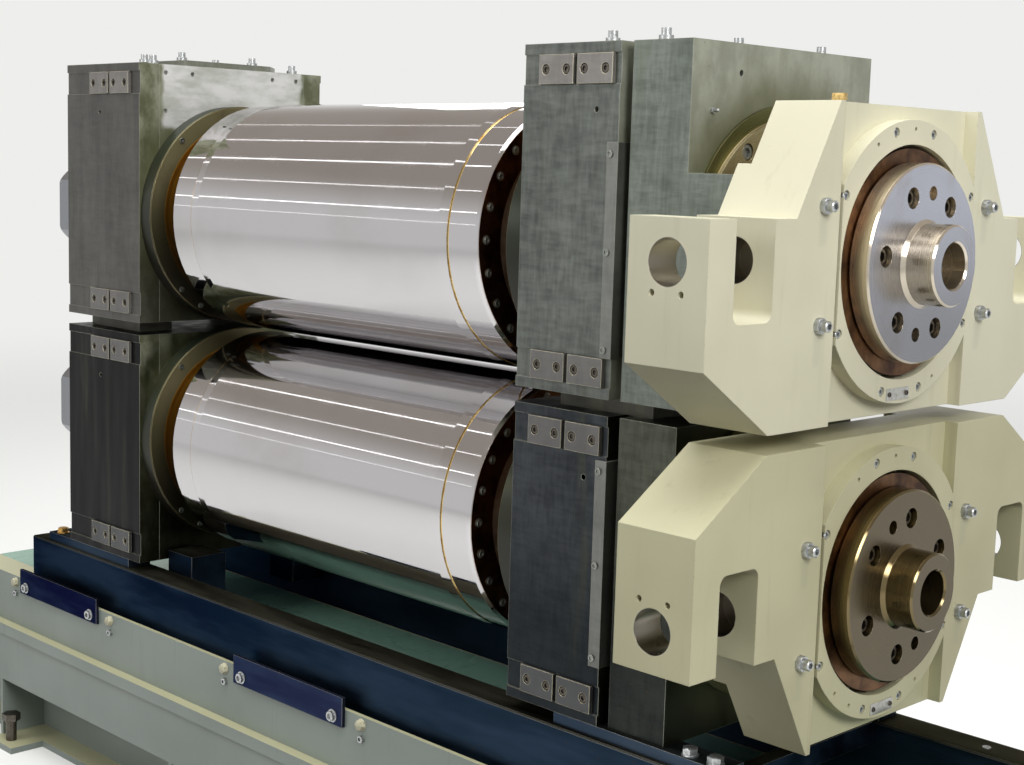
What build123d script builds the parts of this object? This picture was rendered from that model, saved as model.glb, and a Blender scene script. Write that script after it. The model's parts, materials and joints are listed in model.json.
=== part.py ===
from build123d import *
import os
from math import cos, radians, sin

# Two roll unit of a forming mill on its changing stand, in millimetres.
# X runs along the roll axes with the hub discs at the +X end, Z is up, and the
# origin is on the floor under the middle of the roll barrels.

# Rolls
roll_diameter = 520.0
nip_gap = 6.0
barrel_length = 996.0
barrel_offset = 8.0
barrel_relief_length = 25.0
barrel_relief_drop = 1.5
collar_width = 75.0
collar_drop = 3.5
collar_chamfer = 6.0
groove_width = 4.0
groove_depth = 8.0
end_ring_recess = 3.0
end_ring_inner_radius = 196.0
journal_radius = 165.0
outer_neck_radius = 130.0
drive_neck_radius = 113.0
drive_neck_length = 343.0
drive_neck_chamfer = 5.0
drive_seat_radius = 118.0
drive_seat_reach = 6.0
drive_flat_length = 150.0
drive_flat_distance = 92.0
neck_collar_gap = 6.0
running_clearance = 0.05
roll_float = 12.0

# Hub disc on the +X neck of each roll
hub_radius = 160.0
hub_thickness = 36.0
hub_edge_chamfer = 3.0
boss_radius = 65.0
boss_length = 54.0
boss_fillet = 6.0
hub_bore_radius = 36.5
hub_bore_depth = 85.0
hub_screw_circle_radius = 113.0
hub_screw_count = 6
hub_counterbore_radius = 17.0
hub_counterbore_depth = 24.0
hub_tapped_radius = 11.5
hub_tapped_depth = 26.0
hub_screw_phase = {"upper": 53.0, "lower": 25.0}
hub_tapped_phase = {"upper": 83.0, "lower": 113.0}
hub_recess = 3.0

# Heights of the roll axes and of the chocks, from the floor
lower_axis_height = 877.0
lower_chock_below = 296.0
lower_chock_parting = 16.0
upper_chock_parting = 12.0
upper_chock_above = 345.0

# Chocks
chock_gap = 114.0
left_chock_width = 320.0
liner_width = 223.0
liner_groove_width = 20.0
right_body_width = 124.0
core_setback = 54.0
right_body_setback = 8.0
cheek_thickness = 45.0
cheek_half_height = 133.0
tapped_hole_radius = 5.0
tapped_hole_depth = 16.0
lifting_hole_places = (-189.0, -117.0, 112.0, 183.0)
lifting_hole_drop = 19.0
low_hole_place = -190.0
low_hole_drop = 106.0
end_hole_place = 125.0
end_hole_drop = 48.0

# Liner blocks and their key plates
cap_height = 18.5
band_height = 51.0
band_depth = 3.0
key_offset = 40.0
key_width = 80.0
key_gap = 9.0
key_thickness = 8.0
key_side_gap = 0.5
key_screw_offset = 24.0
key_counterbore_radius = 9.0
key_counterbore_depth = 6.0
plate_hole_offset = 172.0
plate_hole_drop = 42.0

# Cover strip beside the right liners
strip_lap = 20.0
strip_thickness = 5.0
strip_leg = 38.0
strip_length = 361.0
strip_gap = {"upper": 0.5, "lower": 7.0}

# Seal rings on the inner faces and covers on the outer faces
seal_ring_step = 4.0
seal_ring_length = 40.0
seal_ring_chamfer = 2.0
seal_mouth_radius = 216.0
seal_mouth_depth = 14.0
seal_mouth_taper = 18.0
end_cover_inset = 10.0
end_cover_thickness = 12.0
end_cover_step_width = 25.0
end_cover_step = 7.0
end_cover_side_gap = 1.0
end_cover_screw_count = 16
end_cover_screw_phase = 11.25
end_cover_screw_inset = 21.0
end_cover_counterbore_radius = 14.5
end_cover_counterbore_depth = 9.0
left_cover_radius = 205.0
left_cover_thickness = 20.0
left_cover_chamfer = 3.0

# Outer bearing bracket: centre block, side plates and cover ring
cheek_length = 105.0
bracket_notch = 26.0
bracket_thickness = 147.0
block_setback = 24.0
block_wall = 7.0
bracket_parting = 15.0
notch_height = 150.0
shoulder_step = 11.0
shoulder_outer = 304.0
ear_top = 71.0
ear_bottom = 144.0
ear_reach = 508.0
ear_thickness = 61.0
slot_width = 92.0
slot_depth = 151.0
slot_corner_radius = 16.0
lower_bend = 350.0
pin_bore_radius = 35.0
pin_bore_offset = 7.0
pin_bore_blind_depth = 60.0
pin_screw_pitch = 54.0
pin_screw_drop = 45.0
ring_edge_gap = 21.0
ring_thickness = 27.0
ring_flat_gap = 4.0
ring_width = 39.0
ring_screw_inset = 15.0
ring_screw_angles = (30, 75, 105, 150, 210, 255, 285, 330)
ring_counterbore_radius = 8.0
ring_counterbore_depth = 9.0
ring_tapped_angles = {
    "upper": (90, 119.5, 261, 274.5, 296.5),
    "lower": (90, 119.5, 229, 243, 263.5, 277, 299),
}
ring_tapped_radius = 3.4
pocket_depth = 20.0
collar_end_gap = 5.0

# Blocks between the chocks
spacer_offset = 71.0
spacer_length = 214.0
spacer_setback = 44.0
spacer_depth = 90.0

# Plate on the left upper chock and screws on the tops of the upper chocks
top_plate_inset = 20.0
top_plate_length = 280.0
top_plate_front = -125.0
top_plate_rear = 170.0
top_plate_thickness = 14.0
top_plate_chamfer = 50.0
plate_screw_places = ((-698.0, -95.0), (-705.0, 112.0), (-862.0, -95.0), (-862.0, 112.0))
top_screw_places = (
    (-659.0, -199.0),
    (-659.0, 199.0),
    (782.0, -214.0),
    (782.0, 214.0),
    (902.0, -218.0),
    (902.0, 218.0),
    (885.0, -4.0),
)
top_collar_radius = 12.5
top_collar_height = 9.0
top_head_radius = 8.5
top_head_height = 12.0
top_socket_radius = 4.6
top_socket_depth = 7.0

# Rails under the chocks
rail_left_reach = 171.0
rail_inset = 65.0
rail_width = 75.0
rail_height = 127.0
rail_chamfer = 3.0
foot_height = 21.0
foot_offset = {"left": 50.0, "right": 121.0}
foot_length = 375.0
foot_depth = 60.0
tie_bar_start = 93.0
tie_bar_length = 30.0
tie_bar_height = 40.0
stop_block_offset = 121.0
stop_block_length = 98.0
stop_block_depth = 95.0
stop_block_gap = 13.0
stop_block_drop = 60.0

# Stand
stand_overhang = 510.0
bed_reach = 18.0
bed_height = 113.0
bed_wall = 12.0
bed_flange_depth = 98.0
flange_thickness = 28.0
flange_reach = 35.0
flange_depth = 150.0
beam_face_bottom = 167.0
beam_face_setback = 5.0
web_setback = 118.0
base_flange_thickness = 16.0
base_setback = 52.0
stiffener_thickness = 12.0
stiffener_inset = 251.0
middle_stiffener_place = 400.0
cross_beam_width = 100.0
cross_beam_height = 190.0
cross_beam_count = 4
cross_beam_end_gap = 150.0
deck_thickness = 12.0
guide_strip_height = 129.0
guide_strip_thickness = 10.0
clip_length = 374.0
clip_height = 62.0
clip_thickness = 8.0
clip_rise = 26.0
clip_pitch = 944.0
clip_count = 3
clip_centre = 16.0
pad_length = 120.0
pad_reach = 37.0
jack_inset = 309.0
jack_reach = 4.0
jack_height = 88.0
jack_shank_radius = 13.5
jack_head_across_flats = 41.0
jack_head_height = 18.0

# Heights and places worked out from the driving sizes
roll_radius = roll_diameter / 2
upper_axis_height = lower_axis_height + roll_diameter + nip_gap
axis_height = {"upper": upper_axis_height, "lower": lower_axis_height}
half_pitch = roll_radius + nip_gap / 2
liner_half_depth = roll_radius
core_half_depth = liner_half_depth - core_setback
right_body_half_depth = liner_half_depth - right_body_setback
spacer_half_depth = liner_half_depth - spacer_setback
rail_half_gap = liner_half_depth - rail_inset
upper_chock_below = half_pitch - upper_chock_parting
lower_chock_above = half_pitch - lower_chock_parting
seal_ring_radius = roll_radius - seal_ring_step
end_cover_radius = roll_radius - end_cover_inset
end_cover_step_radius = end_cover_radius - end_cover_step_width
end_cover_screw_circle_radius = end_cover_step_radius - end_cover_screw_inset
bracket_half_height = half_pitch - bracket_parting
ring_radius = bracket_half_height - ring_edge_gap
ring_bore_radius = ring_radius - ring_width
ring_screw_circle_radius = ring_radius - ring_screw_inset
neck_collar_radius = ring_bore_radius - neck_collar_gap
block_half_width = ring_bore_radius + block_wall
shoulder_inner = block_half_width + shoulder_step
chock_bottom = {
    "upper": upper_axis_height - upper_chock_below,
    "lower": lower_axis_height - lower_chock_below,
}
chock_top = {
    "upper": upper_axis_height + upper_chock_above,
    "lower": lower_axis_height + lower_chock_above,
}
rail_top = chock_bottom["lower"] - foot_height
rail_bottom = rail_top - rail_height
stop_block_top = lower_axis_height - seal_ring_radius - stop_block_gap
bed_bottom = rail_bottom - bed_height
flange_bottom = bed_bottom - flange_thickness
barrel_left = barrel_offset - barrel_length / 2
barrel_right = barrel_offset + barrel_length / 2
chock_inner_face = barrel_right + chock_gap
liner_end = chock_inner_face + liner_width
right_body_start = liner_end + liner_groove_width
right_chock_end = right_body_start + right_body_width
left_chock_end = chock_inner_face + left_chock_width
drive_neck_end = left_chock_end + drive_neck_length
bracket_back = right_chock_end + cheek_length
bracket_front = bracket_back + bracket_thickness
block_front = bracket_front - block_setback
spacer_inner = chock_inner_face + spacer_offset
rail_left_end = left_chock_end + rail_left_reach
stop_block_outer = chock_inner_face - stop_block_offset + stop_block_length
tie_bar_inner = right_chock_end + tie_bar_start
stand_half_length = left_chock_end + stand_overhang
left_cover_end = left_chock_end + left_cover_thickness
jack_position = stand_half_length - jack_inset
collar_start = block_front - pocket_depth + collar_end_gap
hub_back = bracket_front - hub_recess
hub_front = hub_back + hub_thickness
boss_front = hub_front + boss_length
bed_front = rail_half_gap + rail_width + bed_reach
slot_outer = ear_reach - ear_thickness
slot_inner = slot_outer - slot_width
pin_bore_x = (bracket_back + bracket_front) / 2
flip = {"upper": 1, "lower": -1}
end_sign = {"left": -1, "right": 1}
side_name = {-1: "front", 1: "rear"}

os.makedirs("parts", exist_ok=True)


def save(piece, name):
    """Labels a finished piece and writes its STEP file."""
    piece.part.label = name
    export_step(piece.part, f"parts/{name}.step")


def block(x, y, z, mode=Mode.ADD):
    """A box from its lowest to its highest X, Y and Z, in the open builder."""
    with Locations(((x[0] + x[1]) / 2, (y[0] + y[1]) / 2, (z[0] + z[1]) / 2)):
        Box(x[1] - x[0], y[1] - y[0], z[1] - z[0], mode=mode)


def span(a, b, sign=1):
    """The range between two distances on one side of a middle plane."""
    return (min(sign * a, sign * b), max(sign * a, sign * b))


def disc(x, radius, height, length, mode=Mode.ADD):
    """A round piece about a roll axis, from a place along X towards +X."""
    with Locations((x + length / 2, 0, height)):
        Cylinder(radius, length, rotation=(0, 90, 0), mode=mode)


# Rolls: barrel with a narrow collar at each end, journals and necks, all turned
for level in ("upper", "lower"):
    with BuildPart() as roll:
        collar_radius = roll_radius - collar_drop
        groove_radius = collar_radius - groove_depth
        relief_radius = roll_radius - barrel_relief_drop
        left_collar = barrel_left + collar_width
        left_face = left_collar + groove_width
        right_collar = barrel_right - collar_width
        right_face = right_collar - groove_width
        with BuildSketch(Plane.XZ):
            with BuildLine():
                Polyline(
                    (-drive_neck_end, 0),
                    (-drive_neck_end, drive_neck_radius - drive_neck_chamfer),
                    (-drive_neck_end + drive_neck_chamfer, drive_neck_radius),
                    (-left_cover_end - drive_seat_reach, drive_neck_radius),
                    (-left_cover_end - drive_seat_reach, drive_seat_radius),
                    (-left_chock_end + roll_float, drive_seat_radius),
                    (-left_chock_end + roll_float, journal_radius),
                    (barrel_left + end_ring_recess, journal_radius),
                    (barrel_left + end_ring_recess, end_ring_inner_radius),
                    (barrel_left, end_ring_inner_radius),
                    (barrel_left, collar_radius - collar_chamfer),
                    (barrel_left + collar_chamfer, collar_radius),
                    (left_collar, collar_radius),
                    (left_collar, groove_radius),
                    (left_face, groove_radius),
                    (left_face, relief_radius),
                    (left_face + barrel_relief_length, roll_radius),
                    (right_face - barrel_relief_length, roll_radius),
                    (right_face, relief_radius),
                    (right_face, groove_radius),
                    (right_collar, groove_radius),
                    (right_collar, collar_radius),
                    (barrel_right - collar_chamfer, collar_radius),
                    (barrel_right, collar_radius - collar_chamfer),
                    (barrel_right, end_ring_inner_radius),
                    (barrel_right - end_ring_recess, end_ring_inner_radius),
                    (barrel_right - end_ring_recess, journal_radius),
                    (right_chock_end - roll_float, journal_radius),
                    (right_chock_end - roll_float, outer_neck_radius),
                    (collar_start, outer_neck_radius),
                    (collar_start, neck_collar_radius),
                    (hub_back, neck_collar_radius),
                    (hub_back, 0),
                    close=True,
                )
            make_face()
        revolve(axis=Axis.X)
        # Two flats on the drive neck take the coupling
        for side in (-1, 1):
            block(
                (-drive_neck_end - 1, -drive_neck_end + drive_flat_length),
                span(drive_flat_distance, drive_neck_radius + 1, side),
                (-drive_neck_radius, drive_neck_radius),
                mode=Mode.SUBTRACT,
            )
    roll.part.position = (0, 0, axis_height[level])
    save(roll, f"roll_{level}")

    # Hub disc: flange with counterbored screws, two tapped holes, boss and bore
    with BuildPart() as hub:
        with BuildSketch(Plane.XZ):
            with BuildLine():
                Polyline(
                    (hub_back, 0),
                    (hub_back, hub_radius - hub_edge_chamfer),
                    (hub_back + hub_edge_chamfer, hub_radius),
                    (hub_front - hub_edge_chamfer, hub_radius),
                    (hub_front, hub_radius - hub_edge_chamfer),
                    (hub_front, boss_radius + boss_fillet),
                    (hub_front + boss_fillet, boss_radius),
                    (boss_front - hub_edge_chamfer, boss_radius),
                    (boss_front, boss_radius - hub_edge_chamfer),
                    (boss_front, hub_bore_radius + hub_edge_chamfer),
                    (boss_front - hub_edge_chamfer, hub_bore_radius),
                    (boss_front - hub_bore_depth, hub_bore_radius),
                    (boss_front - hub_bore_depth, 0),
                    close=True,
                )
            make_face()
        revolve(axis=Axis.X)
        with BuildSketch(Plane.YZ.offset(hub_front)):
            with PolarLocations(
                hub_screw_circle_radius,
                hub_screw_count,
                start_angle=hub_screw_phase[level],
            ):
                Circle(hub_counterbore_radius)
        extrude(amount=-hub_counterbore_depth, mode=Mode.SUBTRACT)
        with BuildSketch(Plane.YZ.offset(hub_front)):
            with PolarLocations(hub_screw_circle_radius, 2, start_angle=hub_tapped_phase[level]):
                Circle(hub_tapped_radius)
        extrude(amount=-hub_tapped_depth, mode=Mode.SUBTRACT)
    hub.part.position = (0, 0, axis_height[level])
    save(hub, f"hub_{level}")

# Chocks: core blocks bored for the journals
for end in ("left", "right"):
    sign = end_sign[end]
    for level in ("upper", "lower"):
        axis = axis_height[level]
        bottom = chock_bottom[level]
        top = chock_top[level]
        with BuildPart() as chock:
            if end == "left":
                block(
                    span(chock_inner_face, left_chock_end, sign),
                    (-core_half_depth, core_half_depth),
                    (bottom, top),
                )
            else:
                block(
                    (chock_inner_face, right_body_start),
                    (-core_half_depth, core_half_depth),
                    (bottom, top),
                )
                block(
                    (right_body_start, right_chock_end),
                    (-right_body_half_depth, right_body_half_depth),
                    (bottom, top),
                )
                # Cheeks reach out to carry the outer bearing bracket
                for side in (-1, 1):
                    block(
                        (right_chock_end, bracket_back),
                        span(right_body_half_depth - cheek_thickness, right_body_half_depth, side),
                        (axis - cheek_half_height, axis + cheek_half_height),
                    )
            low_x, high_x = span(chock_inner_face, max(left_chock_end, right_chock_end), sign)
            disc(
                low_x,
                journal_radius + running_clearance,
                axis,
                high_x - low_x,
                mode=Mode.SUBTRACT,
            )
            # Tapped holes for lifting plates on the inner face, above the seal ring
            if level == "upper":
                with BuildSketch(Plane.YZ.offset(sign * chock_inner_face)):
                    for y in lifting_hole_places:
                        with Locations((y, top - lifting_hole_drop)):
                            Circle(tapped_hole_radius)
                    with Locations((low_hole_place, top - low_hole_drop)):
                        Circle(tapped_hole_radius)
                extrude(amount=sign * tapped_hole_depth, mode=Mode.SUBTRACT)
            # Tapped hole high on the outer face, above the cover
            if level == "upper" and end == "right":
                with BuildSketch(Plane.YZ.offset(right_chock_end)):
                    with Locations((-end_hole_place, top - end_hole_drop)):
                        Circle(tapped_hole_radius)
                extrude(amount=-tapped_hole_depth, mode=Mode.SUBTRACT)
        save(chock, f"chock_{end}_{level}")

        # Liner blocks at the front and rear, with a recessed band at top and bottom
        outer = liner_end if end == "right" else left_chock_end
        with BuildPart() as liner:
            for side in (-1, 1):
                block(
                    span(chock_inner_face, outer, sign),
                    span(core_half_depth, liner_half_depth, side),
                    (bottom, top),
                )
                for band_bottom in (bottom + cap_height, top - cap_height - band_height):
                    block(
                        span(chock_inner_face, outer, sign),
                        span(liner_half_depth - band_depth, liner_half_depth, side),
                        (band_bottom, band_bottom + band_height),
                        mode=Mode.SUBTRACT,
                    )
                hole_plane = Plane(
                    origin=(
                        sign * (chock_inner_face + plate_hole_offset),
                        side * liner_half_depth,
                        top - cap_height - band_height - plate_hole_drop,
                    ),
                    z_dir=(0, -side, 0),
                )
                with BuildSketch(hole_plane):
                    Circle(tapped_hole_radius)
                extrude(amount=tapped_hole_depth, mode=Mode.SUBTRACT)
        save(liner, f"liners_{end}_{level}")

        # Seal ring on the inner face, with a tapered mouth around the journal
        bore = journal_radius + running_clearance
        ring_face = chock_inner_face - seal_ring_length
        mouth_floor = ring_face + seal_mouth_depth
        with BuildPart() as seal:
            with BuildSketch(Plane.XZ):
                with BuildLine():
                    Polyline(
                        (sign * chock_inner_face, bore),
                        (sign * chock_inner_face, seal_ring_radius),
                        (sign * (ring_face + seal_ring_chamfer), seal_ring_radius),
                        (sign * ring_face, seal_ring_radius - seal_ring_chamfer),
                        (sign * ring_face, seal_mouth_radius),
                        (sign * mouth_floor, seal_mouth_radius - seal_mouth_taper),
                        (sign * mouth_floor, bore),
                        close=True,
                    )
                make_face()
            revolve(axis=Axis.X)
        seal.part.position = (0, 0, axis)
        save(seal, f"seal_ring_{end}_{level}")

# Covers on the outer faces: cut flat beside the cheeks at the right end
for level in ("upper", "lower"):
    axis = axis_height[level]
    with BuildPart() as cover:
        disc(right_chock_end, end_cover_radius, axis, end_cover_thickness - end_cover_step)
        disc(
            right_chock_end + end_cover_thickness - end_cover_step,
            end_cover_step_radius,
            axis,
            end_cover_step,
        )
        disc(
            right_chock_end,
            outer_neck_radius + running_clearance,
            axis,
            end_cover_thickness,
            mode=Mode.SUBTRACT,
        )
        flat = right_body_half_depth - cheek_thickness - end_cover_side_gap
        notch = cheek_half_height + end_cover_side_gap
        for side in (-1, 1):
            block(
                (right_chock_end, right_chock_end + end_cover_thickness),
                span(flat, end_cover_radius, side),
                (axis - notch, axis + notch),
                mode=Mode.SUBTRACT,
            )
        with BuildSketch(Plane.YZ.offset(right_chock_end + end_cover_thickness)):
            with Locations((0, axis)):
                with PolarLocations(
                    end_cover_screw_circle_radius,
                    end_cover_screw_count,
                    start_angle=end_cover_screw_phase,
                ):
                    Circle(end_cover_counterbore_radius)
        extrude(amount=-end_cover_counterbore_depth, mode=Mode.SUBTRACT)
    save(cover, f"end_cover_right_{level}")
    with BuildPart() as cover:
        disc(-left_cover_end, left_cover_radius, axis, left_cover_thickness)
        disc(
            -left_cover_end,
            drive_seat_radius + running_clearance,
            axis,
            left_cover_thickness,
            mode=Mode.SUBTRACT,
        )
        chamfer(cover.faces().sort_by(Axis.X)[0].edges(), left_cover_chamfer)
    save(cover, f"end_cover_left_{level}")

# Key plates in the liner bands, two to a band
with BuildPart() as keys:
    for sign in (-1, 1):
        for level in ("upper", "lower"):
            bottom = chock_bottom[level]
            top = chock_top[level]
            for side in (-1, 1):
                for band_bottom in (bottom + cap_height, top - cap_height - band_height):
                    for index in range(2):
                        start = chock_inner_face + key_offset + index * (key_width + key_gap)
                        face = liner_half_depth - band_depth
                        block(
                            span(start, start + key_width, sign),
                            span(face, face + key_thickness, side),
                            (band_bottom + key_side_gap, band_bottom + band_height - key_side_gap),
                        )
                        key_front = Plane(
                            origin=(
                                sign * (start + key_width / 2),
                                side * (face + key_thickness),
                                band_bottom + band_height / 2,
                            ),
                            x_dir=(1, 0, 0),
                            z_dir=(0, -side, 0),
                        )
                        with BuildSketch(key_front):
                            with Locations((-key_screw_offset, 0), (key_screw_offset, 0)):
                                Circle(key_counterbore_radius)
                        extrude(amount=key_counterbore_depth, mode=Mode.SUBTRACT)
save(keys, "key_plates")

# Cover strips beside the right liners: an angle with one leg in the groove
with BuildPart() as strips:
    for level in ("upper", "lower"):
        low = chock_bottom[level] + cap_height + band_height + strip_gap[level]
        if level == "lower":
            low = chock_top[level] - cap_height - band_height - strip_gap[level] - strip_length
        high = low + strip_length
        for side in (-1, 1):
            block(
                (liner_end - strip_lap, liner_end + strip_thickness),
                span(liner_half_depth, liner_half_depth + strip_thickness, side),
                (low, high),
            )
            block(
                (liner_end, liner_end + strip_thickness),
                span(liner_half_depth - strip_leg, liner_half_depth, side),
                (low, high),
            )
save(strips, "cover_strips")

# Blocks between the upper and lower chocks
with BuildPart() as spacers:
    for sign in (-1, 1):
        for side in (-1, 1):
            block(
                span(spacer_inner, spacer_inner + spacer_length, sign),
                span(spacer_half_depth - spacer_depth, spacer_half_depth, side),
                (chock_top["lower"], chock_bottom["upper"]),
            )
save(spacers, "chock_spacers")

# Plate on the left upper chock, with one corner cut off
chock_roof = chock_top["upper"]
plate_inner = chock_inner_face + top_plate_inset
with BuildPart() as plate:
    block(
        span(plate_inner, plate_inner + top_plate_length, -1),
        (top_plate_front, top_plate_rear),
        (chock_roof, chock_roof + top_plate_thickness),
    )
    corner = plate.edges().filter_by(Axis.Z).sort_by(lambda edge: edge.center().X + edge.center().Y)[-1]
    chamfer(corner, top_plate_chamfer)
save(plate, "top_plate")

# Screws with thick washers on the tops of the upper chocks and on the plate
with BuildPart() as screws:
    for places, seat in (
        (top_screw_places, chock_roof),
        (plate_screw_places, chock_roof + top_plate_thickness),
    ):
        with BuildSketch(Plane.XY.offset(seat)):
            with Locations(*places):
                Circle(top_collar_radius)
        extrude(amount=top_collar_height)
        with BuildSketch(Plane.XY.offset(seat + top_collar_height)):
            with Locations(*places):
                Circle(top_head_radius)
        extrude(amount=top_head_height)
        with BuildSketch(Plane.XY.offset(seat + top_collar_height + top_head_height)):
            with Locations(*places):
                RegularPolygon(top_socket_radius, 6)
        extrude(amount=-top_socket_depth, mode=Mode.SUBTRACT)
save(screws, "top_bolts")

# Outer bearing brackets: the lower one is the upper one turned upside down
for level in ("upper", "lower"):
    axis = axis_height[level]
    way = flip[level]
    with BuildPart() as centre:
        block(
            (bracket_back + bracket_notch, block_front),
            (-block_half_width, block_half_width),
            (axis - bracket_half_height, axis + bracket_half_height),
        )
        disc(
            bracket_back + bracket_notch,
            outer_neck_radius + running_clearance,
            axis,
            block_front - bracket_back - bracket_notch,
            mode=Mode.SUBTRACT,
        )
        disc(block_front - pocket_depth, ring_bore_radius, axis, pocket_depth, mode=Mode.SUBTRACT)
    save(centre, f"bearing_block_{level}")

    for side in (-1, 1):
        with BuildPart() as plate:
            with BuildSketch(Plane.YZ.offset(bracket_back)):
                with BuildLine():
                    Polyline(
                        *[
                            (side * y, axis + way * z)
                            for y, z in (
                                (block_half_width, bracket_half_height),
                                (shoulder_inner, bracket_half_height),
                                (shoulder_outer, ear_top),
                                (ear_reach, ear_top),
                                (ear_reach, -ear_bottom),
                                (lower_bend, -bracket_half_height),
                                (block_half_width, -bracket_half_height),
                            )
                        ],
                        close=True,
                    )
                make_face()
            extrude(amount=bracket_front - bracket_back)
            # The back of the plate steps forward beyond the notch
            with BuildSketch(Plane.YZ.offset(bracket_back)):
                with Locations(
                    (
                        side * (block_half_width + ear_reach) / 2,
                        axis + way * (notch_height + bracket_half_height) / 2,
                    )
                ):
                    Rectangle(ear_reach - block_half_width, bracket_half_height - notch_height)
            extrude(amount=bracket_notch, mode=Mode.SUBTRACT)
            # Clevis slot, open at one end, with rounded corners at the other
            with BuildSketch(Plane.YZ.offset(bracket_back)) as slot:
                with Locations((side * (slot_inner + slot_outer) / 2, axis + way * ear_top)):
                    Rectangle(slot_width, 2 * slot_depth)
                fillet(slot.vertices(), slot_corner_radius)
            extrude(amount=bracket_front - bracket_back, mode=Mode.SUBTRACT)
            # Pin bore through the ear and into the wall behind the slot
            pin_plane = Plane(
                origin=(pin_bore_x, side * ear_reach, axis + way * pin_bore_offset),
                x_dir=(1, 0, 0),
                z_dir=(0, -side, 0),
            )
            with BuildSketch(pin_plane):
                Circle(pin_bore_radius)
            extrude(
                amount=ear_reach - slot_inner + pin_bore_blind_depth,
                mode=Mode.SUBTRACT,
            )
            for x in (-pin_screw_pitch / 2, pin_screw_pitch / 2):
                screw_plane = Plane(
                    origin=(
                        pin_bore_x + x,
                        side * ear_reach,
                        axis + way * (pin_bore_offset - pin_screw_drop),
                    ),
                    z_dir=(0, -side, 0),
                )
                with BuildSketch(screw_plane):
                    Circle(tapped_hole_radius)
                extrude(amount=tapped_hole_depth, mode=Mode.SUBTRACT)
        save(plate, f"side_plate_{side_name[side]}_{level}")

    # Cover ring with a flat at each side plate
    with BuildPart() as ring:
        disc(block_front, ring_radius, axis, ring_thickness)
        disc(block_front, ring_bore_radius, axis, ring_thickness, mode=Mode.SUBTRACT)
        flat = block_half_width - ring_flat_gap
        for side in (-1, 1):
            block(
                (block_front, block_front + ring_thickness),
                span(flat, ring_radius, side),
                (axis - ring_radius, axis + ring_radius),
                mode=Mode.SUBTRACT,
            )
        for angles, radius, depth in (
            (ring_screw_angles, ring_counterbore_radius, ring_counterbore_depth),
            (ring_tapped_angles[level], ring_tapped_radius, tapped_hole_depth),
        ):
            with BuildSketch(Plane.YZ.offset(block_front + ring_thickness)):
                for angle in angles:
                    with Locations(
                        (
                            ring_screw_circle_radius * cos(radians(angle)),
                            axis + ring_screw_circle_radius * sin(radians(angle)),
                        )
                    ):
                        Circle(radius)
            extrude(amount=-depth, mode=Mode.SUBTRACT)
    save(ring, f"cover_ring_{level}")

# Rails and what lies on them
for side in (-1, 1):
    with BuildPart() as rail:
        block(
            (-rail_left_end, stand_half_length),
            span(rail_half_gap, rail_half_gap + rail_width, side),
            (rail_bottom, rail_top),
        )
        chamfer(rail.edges().filter_by(Axis.X).group_by(Axis.Z)[-1], rail_chamfer)
    save(rail, f"rail_{side_name[side]}")

with BuildPart() as feet:
    for end, sign in end_sign.items():
        foot_inner = chock_inner_face + foot_offset[end]
        for side in (-1, 1):
            block(
                span(foot_inner, foot_inner + foot_length, sign),
                span(liner_half_depth - foot_depth, liner_half_depth, side),
                (rail_top, chock_bottom["lower"]),
            )
save(feet, "foot_blocks")

# Bars across the rails, and stop blocks on the rails' inner sides under the left seal ring
with BuildPart() as ties:
    for sign in (-1, 1):
        block(
            span(tie_bar_inner, tie_bar_inner + tie_bar_length, sign),
            (-rail_half_gap, rail_half_gap),
            (rail_top - tie_bar_height, rail_top),
        )
    for side in (-1, 1):
        block(
            (-stop_block_outer, -stop_block_outer + stop_block_length),
            span(rail_half_gap - stop_block_depth, rail_half_gap, side),
            (rail_top - stop_block_drop, stop_block_top),
        )
save(ties, "rail_blocks")

# Stand: a built-up beam on each side, with stiffeners in its lower recess
flange_front = bed_front + flange_reach
face_front = flange_front - beam_face_setback
web_front = face_front - web_setback
base_front = face_front - base_setback
beam_back = flange_front - flange_depth
for side in (-1, 1):
    with BuildPart() as beam:
        with BuildSketch(Plane.YZ.offset(-stand_half_length)):
            with BuildLine():
                Polyline(
                    *[
                        (side * y, z)
                        for y, z in (
                            (bed_front, rail_bottom),
                            (bed_front, bed_bottom),
                            (flange_front, bed_bottom),
                            (flange_front, flange_bottom),
                            (face_front, flange_bottom),
                            (face_front, beam_face_bottom),
                            (web_front, beam_face_bottom),
                            (web_front, base_flange_thickness),
                            (base_front, base_flange_thickness),
                            (base_front, 0),
                            (beam_back, 0),
                            (beam_back, base_flange_thickness),
                            (web_front - bed_wall, base_flange_thickness),
                            (web_front - bed_wall, flange_bottom),
                            (beam_back, flange_bottom),
                            (beam_back, bed_bottom),
                            (bed_front - bed_wall, bed_bottom),
                            (bed_front - bed_wall, rail_bottom - bed_wall),
                            (bed_front - bed_flange_depth, rail_bottom - bed_wall),
                            (bed_front - bed_flange_depth, rail_bottom),
                        )
                    ],
                    close=True,
                )
            make_face()
        extrude(amount=2 * stand_half_length)
        for place in (stand_half_length - stiffener_inset, middle_stiffener_place):
            for x in (-place, place):
                block(
                    (x - stiffener_thickness / 2, x + stiffener_thickness / 2),
                    span(web_front, face_front, side),
                    (base_flange_thickness, flange_bottom),
                )
        for sign in (-1, 1):
            block(
                (sign * jack_position - pad_length / 2, sign * jack_position + pad_length / 2),
                span(beam_back, face_front + pad_reach, side),
                (0, base_flange_thickness),
            )
    save(beam, f"stand_beam_{side_name[side]}")

    with BuildPart() as strip:
        block(
            (-stand_half_length, stand_half_length),
            span(bed_front, bed_front + guide_strip_thickness, side),
            (bed_bottom, bed_bottom + guide_strip_height),
        )
    save(strip, f"guide_strip_{side_name[side]}")

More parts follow.
